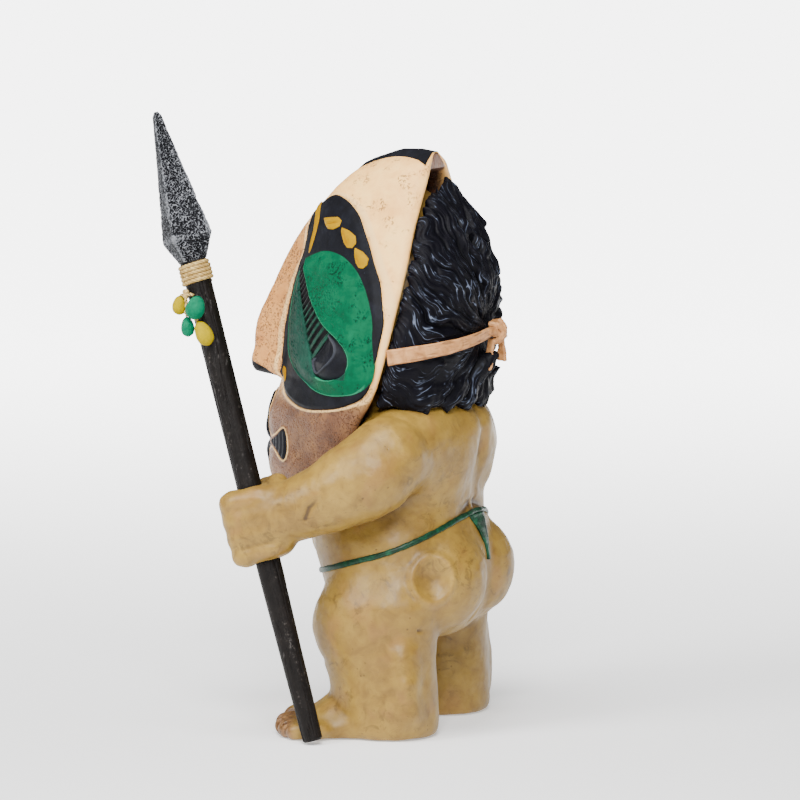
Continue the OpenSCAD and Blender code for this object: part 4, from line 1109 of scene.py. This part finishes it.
def eye(side):
    tag = "left" if side > 0 else "right"
    mir = np.array([side, 1.0, 1.0])

    def put(name, node, material, parts, attrs=None):
        v, f = parts
        v = v * mir
        if side < 0:
            f = flip(f)
        add(name + "_" + tag, v, f, "figure", [node + "_" + tag], material, attrs)

    n = 1
    rings = lambda k: 1 - (1 - np.linspace(1, 0.0, k)) * 0.988
    v, f, q, s = plate(surround_pts, [33, 205], panel_lift(surround_pts, 1.25), around=int(300 * n),
                       rings=rings(int(90 * n)))
    put("eye_panel", "eye_surround", MAT["black"], (v, f))
    v, f, q, s = plate(dish_pts, [37, 203], dish_lift, 0.6, around=int(420 * n), rings=rings(int(170 * n)))
    ds = line_dist(q[:, 0], q[:, 1], spline(s_line, 80))
    d = -outline_dist(q[:, 0], q[:, 1], spline(dish_pts, 100, True))
    right = right_of(q[:, 0], q[:, 1])
    # painted highlight along the S line's raised crest and the dish's rim bead
    line = np.exp(-(ds / 0.55) ** 2) * (right > 0.2)
    bead = np.exp(-((d - 0.6) / 0.5) ** 2) * smooth(34, 18,
                                                    q[:, 0]) + np.exp(-((d - 0.6) / 0.5) ** 2) * smooth(180,
                                                            172, q[:, 1]) * 0.8
    put("eye_dome", "eye_dish", MAT["green"], (v, f),
        {"right": right, "line": np.maximum(line, bead * (q[:, 1] < 228)), "recess_shade": comb_depth(q[:, 0], q[:, 1]),
         "pitty": np.exp(-((q[:, 0] - 34) / 8) ** 2 - ((q[:, 1] - 213) / 11) ** 2)})
    v, f, q, s = plate(comb_outline[::2], [38, 194], comb_lift, 0.4, around=int(300 * n),
                       rings=rings(int(130 * n)))
    put("eye_comb_ribs", "eye_comb", MAT["comb"], (v, f),
        {"rib": rib_wave(q[:, 0], q[:, 1]) * smooth(226, 205, q[:, 1])})
    v, f, q, s = plate(ball_outline[::3], [45.6, 186], ball_lift, 0.8, around=int(200 * n),
                       rings=rings(int(90 * n)))
    hk = line_dist(q[:, 0], q[:, 1], hook_line)
    put("eye_ball", "pupil", MAT["ball"], (v, f), {"hook": np.exp(-(hk / 0.8) ** 2)})
    parts, at = [], []
    for i, o in enumerate(drop_shapes):
        c = np.mean(o, 0)
        ax = unit(np.array([[1, 0.35], [0.62, -0.78], [0.6, -0.8]][i]))

        def lift(x, z, s, c=c, ax=ax):
            w = -(x - c[0]) * ax[1] + (z - c[1]) * ax[0]
            return 1.5 + 0.85 * (1 - s ** 3) - 0.75 * np.exp(-((w + 0.5) / 0.8) ** 2) * (1 - s ** 2)
        v, f, q, s = plate(o, c, lift, 0.7, 72, rings(26), True)
        w = -(q[:, 0] - c[0]) * ax[1] + (q[:, 1] - c[1]) * ax[0]
        parts.append((v, f))
        at.append(0.55 * np.exp(-((w + 0.6) / 0.5) ** 2) * (1 - s ** 4) + 0.12 * smooth(0.2, -2, w))
    put("eye_drops_set", "eye_drops", MAT["yellow"], join(parts), {"shade": np.concatenate(at)})
    lf = lambda x, z, s: 1.35 + 0.85 * (1 - s ** 2)
    v, f, q, s = plate(cheek_shape, np.mean(cheek_shape, 0), lf, 0.5, 60, rings(16))
    put("cheek_mark", "cheek_drop", MAT["yellow"], (v, f), {"shade": np.full(len(v), 0.5)})
    v, f, q, s = plate(brow_shape, [14, 248.6], lambda x, z, s: 1.3 + 0.5 * (1 - s ** 2), 0.5, 100, rings(10))
    put("brow_mark", "brow_line", MAT["yellow"], (v, f), {"shade": np.full(len(v), 0.35)})


eye(1)
eye(-1)


# ---------------------------------------------------------------- mouth and crest
def build_mouth():
    o = spline(mouth_pts, 90, True)

    def lift(x, z, s):
        d = -outline_dist(x, z, o)
        # parted lips: two rolls with a slit between them
        roll = np.exp(-((np.abs(z - 141) - 6) / 4.2) ** 2) * smooth(0, 5, 13 - np.abs(x))
        slit = np.exp(-((z - 141) / 1.6) ** 2)
        return 0.6 + 1.0 * smooth(0, 1.2, d) + 0.9 * roll * smooth(0, 2, d) - 0.9 * slit * smooth(0, 1, d)
    parts = [plate(mouth_pts, [0, 141], lift, around=260, rings=np.linspace(1, 0.012, 70))[:2]]
    for side in (1, -1):
        of = spline(flare_pts, 60, True)

        def fl(x, z, s):
            rib = 0.5 + 0.5 * np.sin((x - 17) * 2 * PI / 3.3)
            return 0.7 + 0.5 * smooth(0, 0.8, -outline_dist(x, z, of)) + 0.45 * rib * smooth(0, 1.2,
                    -outline_dist(x, z, of))
        v, f = plate(flare_pts, [25, 141], fl, around=160, rings=np.linspace(1, 0.02, 50))[:2]
        v = v * [side, 1, 1]
        parts.append((v, f if side > 0 else flip(f)))
    v, f = join(parts)
    add("mouth_paint", v, f, "figure", ["mask_mouth"], MAT["black"])


def crown_z(x, y):
    lo, hi = np.full(np.shape(x), 262.0), np.full(np.shape(x), 286.3)
    for _ in range(18):
        mid = (lo + hi) / 2
        ok = (mask_y(x, mid) < y) & (np.abs(x) < half_w(mid))
        lo, hi = np.where(ok, mid, lo), np.where(ok, hi, mid)
    return (lo + hi) / 2


def build_crest():
    plan = np.array([[15.8, 14], [11, 10.6], [5.5, 8], [-1, 6], [-9, 4.4], [-18, 3], [-25.5, 1.4]])
    y = np.linspace(15.8, -25.4, 120)
    w = np.interp(y, plan[::-1, 0], plan[::-1, 1])
    t = np.linspace(-1, 1, 41)
    X, Y = w[:, None] * t[None], y[:, None] * np.ones(41)
    Z = crown_z(X, Y)
    top = np.stack([X, Y, Z + 0.15 + 1.35 * (1 - t[None] ** 4) * smooth(-26, -20, Y) * smooth(16.2, 7, Y) + 0.1
                    * noise_at(X, Y, Z, 3, 77)], -1)
    top[..., 2] = np.minimum(top[..., 2], 288.4)
    low = np.stack([X, Y, Z - 0.3], -1)[:, ::-1]
    ring = np.concatenate([top, low], 1)
    k = ring.shape[1]
    f = flip(capped(k, len(y)))
    add("crest_paint", ring.reshape(-1, 3), f, "figure", ["mask_crest"], MAT["black"])


build_mouth()
build_crest()


# ---------------------------------------------------------------- head and hair
head_rows = [[168.1, 24, -18, 22], [176, 34, -25, 31], [190, 40.5, -30, 35.5], [205, 42, -31, 37],
             [220, 40, -30, 36.5],
             [235, 35, -26, 33], [250, 25.5, -19, 26], [262, 13.5, -8, 18], [268, 5, -1, 10]]


def build_head():
    z = np.linspace(168.1, 268, 90)
    r = row_at(head_rows, z)
    a = np.linspace(0, 2 * PI, 120, endpoint=False)
    x = r[:, 1:2] * np.cos(a)
    y = (r[:, 2:3] + r[:, 3:4]) / 2 + (r[:, 3:4] - r[:, 2:3]) / 2 * np.sin(a)
    v = np.stack([x, y, z[:, None] * np.ones_like(a)], -1)
    zz, front = v[..., 2], smooth(-0.2, -0.75, np.sin(a))[None]
    # brow, eye hollows, nose and lips, kept simple behind the mask
    v[..., 1] += front * (-2.5 * np.exp(-((zz - 222) / 5) ** 2) + 3
                          * np.exp(-((np.abs(x) - 14) / 7) ** 2 - ((zz - 213) / 6) ** 2)
                          - 5 * np.exp(-(x / 6) ** 2 - ((zz - 203) / 8) ** 2) - 2.5
                          * np.exp(-(x / 12) ** 2 - ((zz - 187) / 5) ** 2))
    f = capped(len(a), len(z))
    z0 = np.zeros(len(v.reshape(-1, 3)))
    add("head_skin", v.reshape(-1, 3), f, "figure", ["head"], MAT["skin"],
        {"cav1": z0, "broad_shade": z0 + 0.1, "toe": z0})


def build_hair():
    h = 0.6
    f = Field((-58, -8, 150), (58, 54, 283), h)
    hair, head = f.node("hair", 8), f.node("head", 8)
    d = f.blur(np.minimum(hair, head), 1.3)
    rim = row_at(mask_rows, f.ax[2])[:, 2].astype(np.float32).reshape(1, 1, -1)
    Y = f.ax[1].reshape(1, -1, 1)
    f.d = d
    rng = np.random.default_rng(5)
    for i in range(36):
        a = math.radians(-6 + 192 * (i + rng.uniform(-0.3, 0.3)) / 35)
        low = 159.5 + rng.uniform(0, 7.5)
        turn = rng.uniform(-0.10, 0.10)
        f.blend("add", [[42.5 * math.cos(a), 13 + 23 * math.sin(a), 172, 4.6],
                        [44 * math.cos(a + turn * 0.4), 13 + 24.5 * math.sin(a + turn * 0.4), 166.5, 3.3],
                        [44.5 * math.cos(a + turn), 13 + 25.5 * math.sin(a + turn), low, 0.7]], 1.0, 3)
    for i in range(26):
        a, z = math.radians(rng.uniform(20, 160)), rng.uniform(172, 262)
        r = row_at([[163, 42, 30], [172, 46, 33], [200, 49, 37], [215, 48, 39], [230, 43.5, 37],
                    [242, 37.5, 32.5], [254, 29, 26], [263, 21, 20], [276, 5, 16]], z)
        ce = np.array([0, 5, 214.0])
        p = np.array([r[1] * math.cos(a), 6 + (r[2]) * math.sin(a), z])
        o = unit(p - ce)
        flow = unit(np.cross(np.cross(o, np.array([0, 47, 198.0]) - p), o))
        f.blend("add", [list(p - o * 2.6) + [4.5], list(p + flow * 7 - o * 2.2) + [3],
                        list(p + flow * 13 - o * 2) + [1]], 3, 3)
    idx = np.argwhere(np.abs(f.d) < 4.5)
    p = idx * h + f.lo
    u1, u2, th = whorl(p)
    k = smooth(0.05, 0.4, th)
    lay = lambda n, al, s: noise(np.stack([u1 * n, u2 * n, th * al], 1), s)
    n1, n2, n3 = np.abs(lay(3.8, 1.1, 61)), np.abs(lay(9, 1.9, 62)), np.abs(lay(20, 3.4, 63))
    disp = 3.4 * np.minimum(n1, 0.6) + 1.9 * np.minimum(n2, 0.6) + 0.75 * n3
    disp -= 0.8 * smooth(7, 1.5, p[:, 1] - row_at(mask_rows, p[:, 2])[:, 2])
    f.d[tuple(idx.T)] += (-(disp * (0.4 + 0.6 * k)) + 1.25).astype(np.float32)
    f.d = np.maximum(f.d, rim + 0.3 - Y)
    f.d = np.maximum(f.d, -(head - 0.1))
    v, q = f.mesh()
    u1, u2, th = whorl(v)
    cavity_shade = cavity(f, v, 1.4)
    add("hair_mop", v, q, "figure", ["hair"], MAT["hair"], {"sc": u1, "ss": u2, "st": th, "cavity_shade": cavity_shade},
        f.normal(v, 0.55))


def whorl(p):
    """Where a point lies in the flow of the hair, which runs out from the back of the head."""
    d = unit(p - [0, 5, 214.0])
    w = unit(np.array([0, 38.5, -14.3]))
    a = np.array([1.0, 0, 0])
    b = np.cross(w, a)
    th = np.arccos(np.clip(d @ w, -1, 1))
    phi = np.arctan2(d @ b, d @ a)
    q = np.stack([np.cos(phi) * 2.2, np.sin(phi) * 2.2, th * 2.4], 1)
    q2 = np.stack([np.cos(phi) * 5, np.sin(phi) * 5, th * 6], 1)
    phi = phi + smooth(0.1, 0.7, th) * (0.11 * noise(q, 71) + 0.05 * noise(q2, 72)) + 0.25 * th
    return np.cos(phi), np.sin(phi), th


build_head()
build_hair()

# ---------------------------------------------------------------- strap, knot and tails
strap_path = [[58.7, 12.2, 189], [46.8, 28.6, 191.6], [35, 39.6, 194], [21, 45.4, 196.4], [6.6, 47.2, 198.4]]


def build_strap(side):
    tag = "left" if side > 0 else "right"
    n, m = 260, 56
    p = spline(strap_path, n)
    s = np.linspace(0, 1, n)
    d = unit(np.gradient(p, axis=0))
    out = unit(np.cross(d, [0, 0, 1]))
    up = np.cross(out, d)
    L = s * 78   # only a scale for the grain, the path itself is about 67 mm
    wob = noise_at(L / 9, 0, side, 1, 81)
    w = 8 * (1 - 0.38 * s) / 2 * (1 + 0.05 * wob)
    a = np.linspace(0, 2 * PI, m, endpoint=False)
    ca, sa = np.sign(np.cos(a)) * np.abs(np.cos(a)) ** 0.62, np.sign(np.sin(a)) * np.abs(np.sin(a)) ** 0.75
    t = 1.1 * (1 + 0.35 * np.exp(-((np.abs(ca) - 0.82) / 0.16) ** 2))
    grain = noise_at(L[:, None] / 7, ca[None] * 3.3, np.sign(sa)[None] * 3, 1, 82)
    crease = np.maximum(0, noise_at(L[:, None] / 13, ca[None] * 3.6, 0, 1, 83) - 0.25)
    v = p[:, None] + up[:, None] * (ca[None] * w[:, None])[..., None] + out[:,
            None] * (sa[None] * (t[None] + 0.16 * grain - 0.5 * crease * (1 - np.abs(ca[None]))) + 0.12
                     * wob[:, None])[..., None]
    v = v.reshape(-1, 3) * [side, 1, 1]
    f = capped(m, n)
    if side < 0:
        f = flip(f)
    # painted shade: in grain hollows and creases, and darker along the lower edge
    cavity_shade = (np.maximum(0, -grain) * 0.4 + crease * 0.9 + 0.25 * smooth(0.8, 1, -ca)[None]).ravel()
    add("strap_" + tag, v, f, "figure", ["mask_strap_" + tag], MAT["strap"], {"cavity_shade": cavity_shade})


def build_knot():
    k = np.array([0, 48, 197.8])
    f = Field((-11, 38, 176), (11, 56, 208), 0.28)
    at = lambda pts: [list(np.array(q[:3]) + k) + [q[3]] for q in pts]
    for side in (1, -1):
        f.blend("add", at([[side * 8.5, -0.9, 0.8, 1.9], [side * 4.5, -0.2, 0.6, 2.3],
                           [side * 1.5, 0.6, 0, 2.5]]), 0.8)
    f.blend("add", at([[-1.4, -1.5, 4.6, 1.7], [-1.2, 1.6, 4.9, 1.9], [-0.6, 3.4, 2.6, 2], [0.2, 3.5, -1, 2],
                       [0.7, 1.6, -4, 1.9], [0.9, -1.6, -4.6, 1.7]]), 0.5)
    f.blend("add", at([[3.6, -1.5, 4.0, 1.5], [2.7, 1.9, 3.4, 1.7], [-0.6, 3.9, 0.4, 1.65],
                       [-3.6, 2.4, -2.4, 1.7], [-4.2, -0.6, -4, 1.5]]), 0.4)
    for i in range(3):
        x = -3.6 + 3.2 * i
        f.blend("cut", at([[x, 4.4, 3.6, 0.12], [x + 0.7, 5.4, 0, 0.18], [x + 1.1, 4.3, -3.6, 0.12]]), 0.7, 2)
    x, y, z = np.meshgrid(*f.ax, indexing="ij")
    for root, foot, w1 in (([1.5, -1.6, -3.4], [4.6, -3.8, -18.6], 3.6),
                           ([-2.2, 1.8, -3.2], [-4, 1.6, -14.6], 2.9)):
        r0, r1 = np.array(root) + k, np.array(foot) + k
        t = (r1 - r0) / np.linalg.norm(r1 - r0)
        ln = np.linalg.norm(r1 - r0)
        side = unit(np.array([0.3, 0.95, 0]) - t * (0.3 * t[0] + 0.95 * t[1]))
        thick = np.cross(t, side)
        c = ((x - r0[0]) * t[0] + (y - r0[1]) * t[1] + (z - r0[2]) * t[2])
        u = ((x - r0[0]) * side[0] + (y - r0[1]) * side[1] + (z - r0[2]) * side[2])
        v = ((x - r0[0]) * thick[0] + (y - r0[1]) * thick[1] + (z - r0[2]) * thick[2])
        s = np.clip(c / ln, 0, 1)
        w = 1.5 + (w1 - 1.5) * s ** 1.2
        th = 1.15 - 0.2 * s
        vv = v + 0.9 * np.sin(s * 3.0) - 0.35 * (u / w) ** 2
        q = ((np.abs(u / w) ** 3.5 + np.abs(vv / th) ** 3.5) ** (1 / 3.5) - 1) * th
        q = smax(smax(q, -c, 0.5), c - ln, 0.7)
        f.d = smin(f.d, q.astype(np.float32), 0.7)
    idx = np.argwhere(np.abs(f.d) < 1.5)
    p = idx * f.h + f.lo
    f.d[tuple(idx.T)] += (0.18 * noise(p * [0.9, 0.9, 0.4], 91) + 0.10
                          * noise(p / [0.9, 0.9, 2.2], 92)).astype(np.float32)
    f.d = np.maximum(f.d, (y - 53.7).astype(np.float32))
    v, q = f.mesh()
    # the knot's folds take painted shade from their cavity
    add("strap_knot_and_tails", v, q, "figure", ["strap_knot", "strap_tails"], MAT["strap"],
        {"cavity_shade": cavity(f, v, 0.9) * 1.2}, f.normal(v, 0.4))


build_strap(1)
build_strap(-1)
build_knot()

# ---------------------------------------------------------------- thong
torso_rows = [[46, 34, -22, 28, 2.2], [54, 50, -30, 36, 2.2], [66, 55, -35, 42, 2.2], [80, 56, -39, 44.5, 2.2],
              [92, 55, -43, 43, 2.2],
              [102, 53, -43.4, 39.6, 2.2], [112, 50.5, -38, 36.5, 2.3], [122, 48.5, -30.5, 37, 2.5]]


def on_torso(a, z, lift):
    r = row_at(torso_rows, z)
    e = 2 / r[..., 4]
    pw = lambda v: np.sign(v) * np.abs(v) ** e
    return np.stack([(r[..., 1] + lift) * pw(np.cos(a)), (r[..., 2] + r[..., 3]) / 2
                     + ((r[..., 3] - r[..., 2]) / 2 + lift) * pw(np.sin(a)), z], -1)


def build_thong():
    n = 420
    a = (np.arange(n) + 0.5) / n * 2 * PI
    z = 91 + 13.5 * np.sin(a) - 1.5 * np.cos(2 * a) + 2 * np.sin(a) ** 3
    p = on_torso(a, z, 1.0)
    for _ in range(8):
        nn = bare.normal(p)
        nn[:, 2] *= 0.3
        nn = unit(nn)
        p = p - nn * (bare.sample(p) - 0.15)[:, None] * 0.8
    for _ in range(3):
        p = (np.roll(p, 1, 0) + 2 * p + np.roll(p, -1, 0)) / 4
    nn = bare.normal(p)
    t = unit(np.roll(p, -1, 0) - np.roll(p, 1, 0))
    up = unit(np.cross(nn, t))
    up *= np.sign(up[:, 2:3])
    w = 1.4 * (1 + 0.12 * noise_at(np.cos(a) * 9, np.sin(a) * 9, 0, 1, 95))
    b = np.linspace(0, 2 * PI, 20, endpoint=False)
    cb, sb = np.cos(b), np.sign(np.sin(b)) * np.abs(np.sin(b)) ** 0.8
    v = p[:, None] + nn[:, None] * (0.25 + 0.85 * cb)[None, :, None] + up[:,
            None] * (w[:, None] * sb[None])[..., None]
    m = len(b)
    f = []
    for i in range(n):
        for j in range(m):
            k, i2 = (j + 1) % m, (i + 1) % n
            f.append([i * m + j, i * m + k, i2 * m + k, i2 * m + j])
    turn = np.dot(np.cross(v[0, 1] - v[0, 0], v[1, 0] - v[0, 0]), nn[0])
    if turn < 0:
        f = flip(f)
    add("thong_band", v.reshape(-1, 3), f, "figure", ["thong_waistband"], MAT["thong"])
    # the strap down into the cleft, and the front panel, laid on the skin
    for name, node, zs, sgn in (("thong_back", "thong_back_strap", np.linspace(84, 106.8, 64), 1),
                                ("thong_front", "thong_front_panel", np.linspace(56, 77, 60), -1)):
        if sgn > 0:
            hw = row_at([[84, 1.3], [88, 1.7], [92, 2.4], [97, 4.4], [101, 6.6], [105.2, 9.6], [106.8, 10.4]],
                        zs)[:, 1]
        else:
            hw = row_at([[56, 6], [62, 9], [68, 14], [74, 20], [77, 23]], zs)[:, 1]
        u = np.linspace(-1, 1, 49)
        X = hw[:, None] * u[None]
        Zg = zs[:, None] + 0 * X
        Yg = np.full(X.shape, 66.0 * sgn)
        for _ in range(70):
            dd = bare.sample(np.stack([X, Yg, Zg], -1).reshape(-1, 3)).reshape(X.shape)
            Yg = Yg - sgn * np.clip(dd, -3, 30) * 0.8
        if sgn > 0:
            floor_y = row_at([[84, 44.4], [90, 43.5], [97, 42], [103, 39.7], [105.2, 38.5], [106.8, 37.9]],
                             zs)[:, 1]
            Yg = np.maximum(Yg, floor_y[:, None])
        ease = (1 - np.abs(u[None]) ** 6)
        top = np.stack([X, Yg + sgn * (0.15 + 0.75 * ease + 0.1 * noise_at(X, Yg, Zg, 3, 96)), Zg], -1)
        low = np.stack([X, Yg - sgn * 0.6, Zg], -1)[:, ::-1]
        ring = np.concatenate([top, low], 1)
        k = ring.shape[1]
        fc = capped(k, len(zs))
        if sgn > 0:
            fc = flip(fc)
        add(name, ring.reshape(-1, 3), fc, "figure", [node], MAT["thong"])


build_thong()


# ---------------------------------------------------------------- spear
def build_shaft():
    ns, na = ((760, 150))
    s = np.linspace(0, HEAD_S, ns)
    a = np.linspace(0, 2 * PI, na, endpoint=False)
    r = np.interp(s, [0, TAPER_L, GRIP_TOP_S, HEAD_S], [BUTT_R, SHAFT_R, SHAFT_R, COLLAR_R])
    S, A = np.meshgrid(s, a, indexing="ij")
    ca, sa = np.cos(A), np.sin(A)
    gr = lambda across, along, seed: noise_at(ca * across, sa * across, S / along, 1, seed)
    g1, g2, g3 = gr(2.0, 34, 101), gr(6.5, 16, 102), gr(15, 6, 103)
    cut = 0.32 * smooth(0.15, 0.7, g1) + 0.42 * smooth(0.18, 0.55, g2) * smooth(-0.3, 0.2,
            g1) + 0.14 * np.maximum(0, g3)
    cut += 0.28 * np.maximum(0, gr(0.9, 60, 104))
    R = r[:, None] - cut
    R = R - 0.8 * smooth(1.4, 0, S) ** 2
    v = on_spear(np.stack([R * ca, R * sa, S], -1).reshape(-1, 3))
    f = capped(na, ns)
    ridge = smooth(0.14, 0.02, cut) * smooth(0.1, 0.35, gr(1.6, 22, 105))
    add("shaft", v, f, "spear", ["spear_shaft"], MAT["shaft"], {"rub": ridge.ravel()})


def build_stone_head():
    """The four-sided stone head, hammered all over."""
    n, m = ((300, 300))
    s = np.concatenate([np.linspace(242.4, 254, int(n * 0.2), endpoint=False),
                        np.linspace(254, 317.6, n - int(n * 0.2))])
    rr = np.interp(s, [242.4, 254, 318.5], [8.4, 15, 2.3])
    a = np.linspace(0, 2 * PI, m, endpoint=False)
    turn = math.radians(81.6)
    # polar radius of a square with slightly rounded corners
    al = (a - turn + PI / 4) % (PI / 2) - PI / 4
    sq = np.cos(PI / 4) / np.cos(PI / 4 - np.abs(al))
    S, A = np.meshgrid(s, a, indexing="ij")
    rr = rr[:, None]
    edge = np.exp(-(al / 0.09) ** 2)[None]
    base = rr * sq[None]
    P = np.stack([base * np.cos(A), base * np.sin(A), S], -1).reshape(-1, 3)
    w1 = noise(P / 1.15, 111)
    w2 = noise(P / 2.4 + 5, 112)
    worm = np.abs(w1).reshape(S.shape)
    ham = worm * 0.95 + np.abs(w2).reshape(S.shape) * 0.25
    chip = np.maximum(0, noise(P / 6.5, 113).reshape(S.shape) - 0.1) * 0.9
    fade = smooth(317.6, 311, S) * 0.6 + 0.4
    sink = (0.05 + (0.6 * ham + 0.6 * chip) * fade + 0.2 * edge
            * (0.6 + 1.2 * np.abs(w2).reshape(S.shape))) * np.minimum(1, rr / 5)
    shoulder = np.exp(-((S - 254) / 1.6) ** 2)
    sink = sink + 0.2 * shoulder
    R = base - sink
    tip = smooth(313.5, 317.6, S)
    R = R * (1 - 0.45 * tip ** 3)
    v = on_spear(np.stack([R * np.cos(A), R * np.sin(A), S], -1).reshape(-1, 3))
    f = capped(m, len(s))
    peak = smooth(0.2, 0.03, worm) * 0.9 + 0.4 * edge + 0.35 * shoulder
    lit = smooth(-0.5, 0.3, noise(P / 11, 114)).reshape(S.shape)
    add("stone_head", v, f, "spear", ["spear_head"], MAT["stone"],
        {"peak": np.clip(peak * (0.6 + 0.4 * lit), 0, 1).ravel()})


def build_binding():
    """Five turns of twine."""
    turns, m = 5.0, (1100)
    t = np.linspace(0, 1, m)
    ang = 2 * PI * turns * t + 2.2
    ss = 231.25 + (241.0 - 231.25) * t + 0.12 * noise_at(t * 21, 0, 0, 1, 121)
    rad = 7.05 + 0.1 * noise_at(t * 16, 0, 3, 1, 122)
    end = smooth(0, 0.02, t) * smooth(1, 0.98, t)
    rad = rad - 0.9 * (1 - end)
    path = on_spear(np.stack([rad * np.cos(ang), rad * np.sin(ang), ss], -1))
    v, f = tube(path, 1.12, 20, lambda s_, a_: 1 - 0.13 * np.abs(np.sin(1.5 * (a_ - s_ / 0.95))) - 0.03)
    # painted shade in the twist grooves
    cavity_shade = np.abs(np.sin(1.5 * (np.linspace(0, 2 * PI, 20, endpoint=False)[None]
                               - np.linspace(0, 222, m)[:, None] / 0.95))).ravel() ** 3 * 0.5
    add("binding_twine", v, f, "spear", ["spear_binding"], MAT["twine"], {"cavity_shade": cavity_shade})


build_shaft()
build_stone_head()
build_binding()


# ---------------------------------------------------------------- charms
def build_charms():
    eye_, knot_ = [79.1, -85.3, 220.2], [81.4, -84.3, 218.4]
    runs = [[eye_, [80.2, -85, 219.6], knot_], [knot_, [80.2, -86.4, 218.7], [79.3, -87.7, 218.2]],
            [knot_, [82.6, -81.8, 219.3], [83.3, -79.5, 219]],
            [knot_, [81.8, -83.9, 213.4], [82, -83.5, 208.4]],
            [[81.7, -84, 210.9], [83.2, -80.2, 209.2], [84.8, -76.8, 206.8]]]
    parts, cavs = [], []
    for run in runs:
        path = spline(run, 60)
        v, f = tube(path, 0.86, 16, lambda s_, a_: 1 - 0.2 * np.abs(np.sin(a_ - s_ / 0.8)))
        parts.append((v, f))
        ln = np.concatenate([[0], np.cumsum(np.linalg.norm(np.diff(path, axis=0), axis=1))])
        # painted shade in the twist grooves
        cavs.append(np.abs(np.sin(np.linspace(0, 2 * PI, 16, endpoint=False)[None] - ln[:, None]
                                  / 0.8)).ravel() ** 3 * 0.7)
    ax = unit(np.array([-0.5461, -0.8377, 0]))
    path = np.array(eye_) + ax * np.linspace(-1.8, 1.8, 24)[:, None]
    v, f = tube(path, 1.25 * np.sqrt(np.clip(1 - (np.linspace(-1, 1, 24) * 0.93) ** 4, 0.05, 1)), 24)
    parts.append((v, f))
    cavs.append(np.zeros(len(v)))
    # the little knot itself: two crossing turns
    for kp, tilt in ((np.array(knot_), 0.5), (np.array(knot_), -0.6), (np.array([81.9, -83.6, 210.6]), 0.5)):
        t = np.linspace(0, 2 * PI, 40)
        ring = kp + np.stack([np.cos(t) * 0.75, np.sin(t) * 0.75 * math.cos(tilt),
                              np.sin(t) * 0.9 * math.sin(tilt) + 0.3 * np.cos(t)], 1)
        v, f = tube(ring, 0.8, 12)
        parts.append((v, f))
        cavs.append(np.full(len(v), 0.1))
    v, f = join(parts)
    add("charm_twine", v, f, "charms", ["charm_cord"], MAT["twine"], {"cavity_shade": np.concatenate(cavs)})
    rows = [("charm_yellow_upper", [78.8, -88.6, 213.6], 10, 4, [-10, 8], "yellow_paint", "leaf_yellow", 0.9),
            ("charm_green_upper", [84.5, -77.9, 213.2], 12, 4.9, [-14, -12], "charm_green", "leaf_green", 0.95),
            ("charm_green_lower", [82, -83.2, 203.4], 10, 3.4, [4, 0], "charm_green", "leaf_green", 0.95),
            ("charm_yellow_lower", [84.8, -73.6, 200.8], 13, 4.4, [28, 0], "yellow_paint", "leaf_yellow", 0.95)]
    for name, c, ln, r, rot, slot, mat, full in rows:
        n, m = 90, 96
        t = np.linspace(-PI / 2, PI / 2, n)
        a = np.linspace(0, 2 * PI, m, endpoint=False)
        zz = ln / 2 * np.sin(t)
        prof = r * np.clip(np.cos(t), 0.004, 1) * (1 - 0.18 * np.sin(t))
        # tips drawn out to a small point
        prof = prof * (1 - 0.22 * smooth(0.72, 1.0, np.abs(np.sin(t))))
        Z_, A_ = np.meshgrid(zz, a, indexing="ij")
        crease = np.exp(-((((A_ - 0.6) % (2 * PI)) - PI) / 0.16) ** 2) * smooth(0, 0.5, np.cos(t))[:, None]
        rr = prof[:, None] * (full + 0.035 * noise_at(np.cos(A_) * 2, np.sin(A_) * 2, Z_ / 3, 1, 131) - 0.05
                              * crease)
        v = np.stack([rr * np.cos(A_), rr * np.sin(A_), Z_], -1).reshape(-1, 3)
        v = v @ (turn_y(math.radians(rot[1])) @ turn_x(math.radians(rot[0]))).T + np.array(c)
        f = capped(m, n)
        shade = np.maximum(crease * 0.5, 0.8 * smooth(0.75, 1, np.sin(t))[:, None] * np.ones(m)).ravel()
        add(name.replace("charm", "leaf"), v, f, "charms", [name], MAT[mat], {"shade": shade})


build_charms()


# ---------------------------------------------------------------- floor and light
def stage():
    me = bpy.data.meshes.new("floor")
    me.from_pydata([(-60, -60, -0.0004), (60, -60, -0.0004), (60, 60, -0.0004), (-60, 60, -0.0004)], [],
                   [(0, 1, 2, 3)])
    o = bpy.data.objects.new("floor", me)
    bpy.context.scene.collection.objects.link(o)
    m = Mat("floor_paint")
    # the floor glows more with distance in one fixed direction, as a lit sweep behind the figure does
    sep = m.t.nodes.new("ShaderNodeSeparateXYZ")
    m.t.links.new(m.co, sep.inputs[0])
    away = m.add(m.mul(sep.outputs[0], -math.sin(CAM_AZ)), m.mul(sep.outputs[1], math.cos(CAM_AZ)))
    m.put(m.bsdf.inputs["Emission Strength"], m.step(away, -0.2, 2.0, 0.4, 5.6))
    me.materials.append(m.done("#ececec", 0.95, Specular_IOR_Level=0.0, Emission_Color=(1, 1, 1, 1)))
    w = bpy.data.worlds.new("studio")
    bpy.context.scene.world = w
    w.use_nodes = True
    bg = w.node_tree.nodes["Background"]
    bg.inputs[0].default_value = (1, 1, 1, 1)
    bg.inputs[1].default_value = 0.24

    def area(name, at, size, power, aim=(0.0, 0.02, 0.15)):
        d = bpy.data.lights.new(name, "AREA")
        d.energy, d.size = power, size
        l = bpy.data.objects.new(name, d)
        bpy.context.scene.collection.objects.link(l)
        l.location = at
        l.rotation_euler = (Vector(at) - Vector(aim)).to_track_quat("Z", "Y").to_euler()

    area("key", (1.2, -0.8, 1.05), 0.6, 24)
    area("front", (1.3, 0.5, 1.1), 0.5, 34)
    area("top", (0.55, 0.0, 1.7), 0.8, 28)


stage()
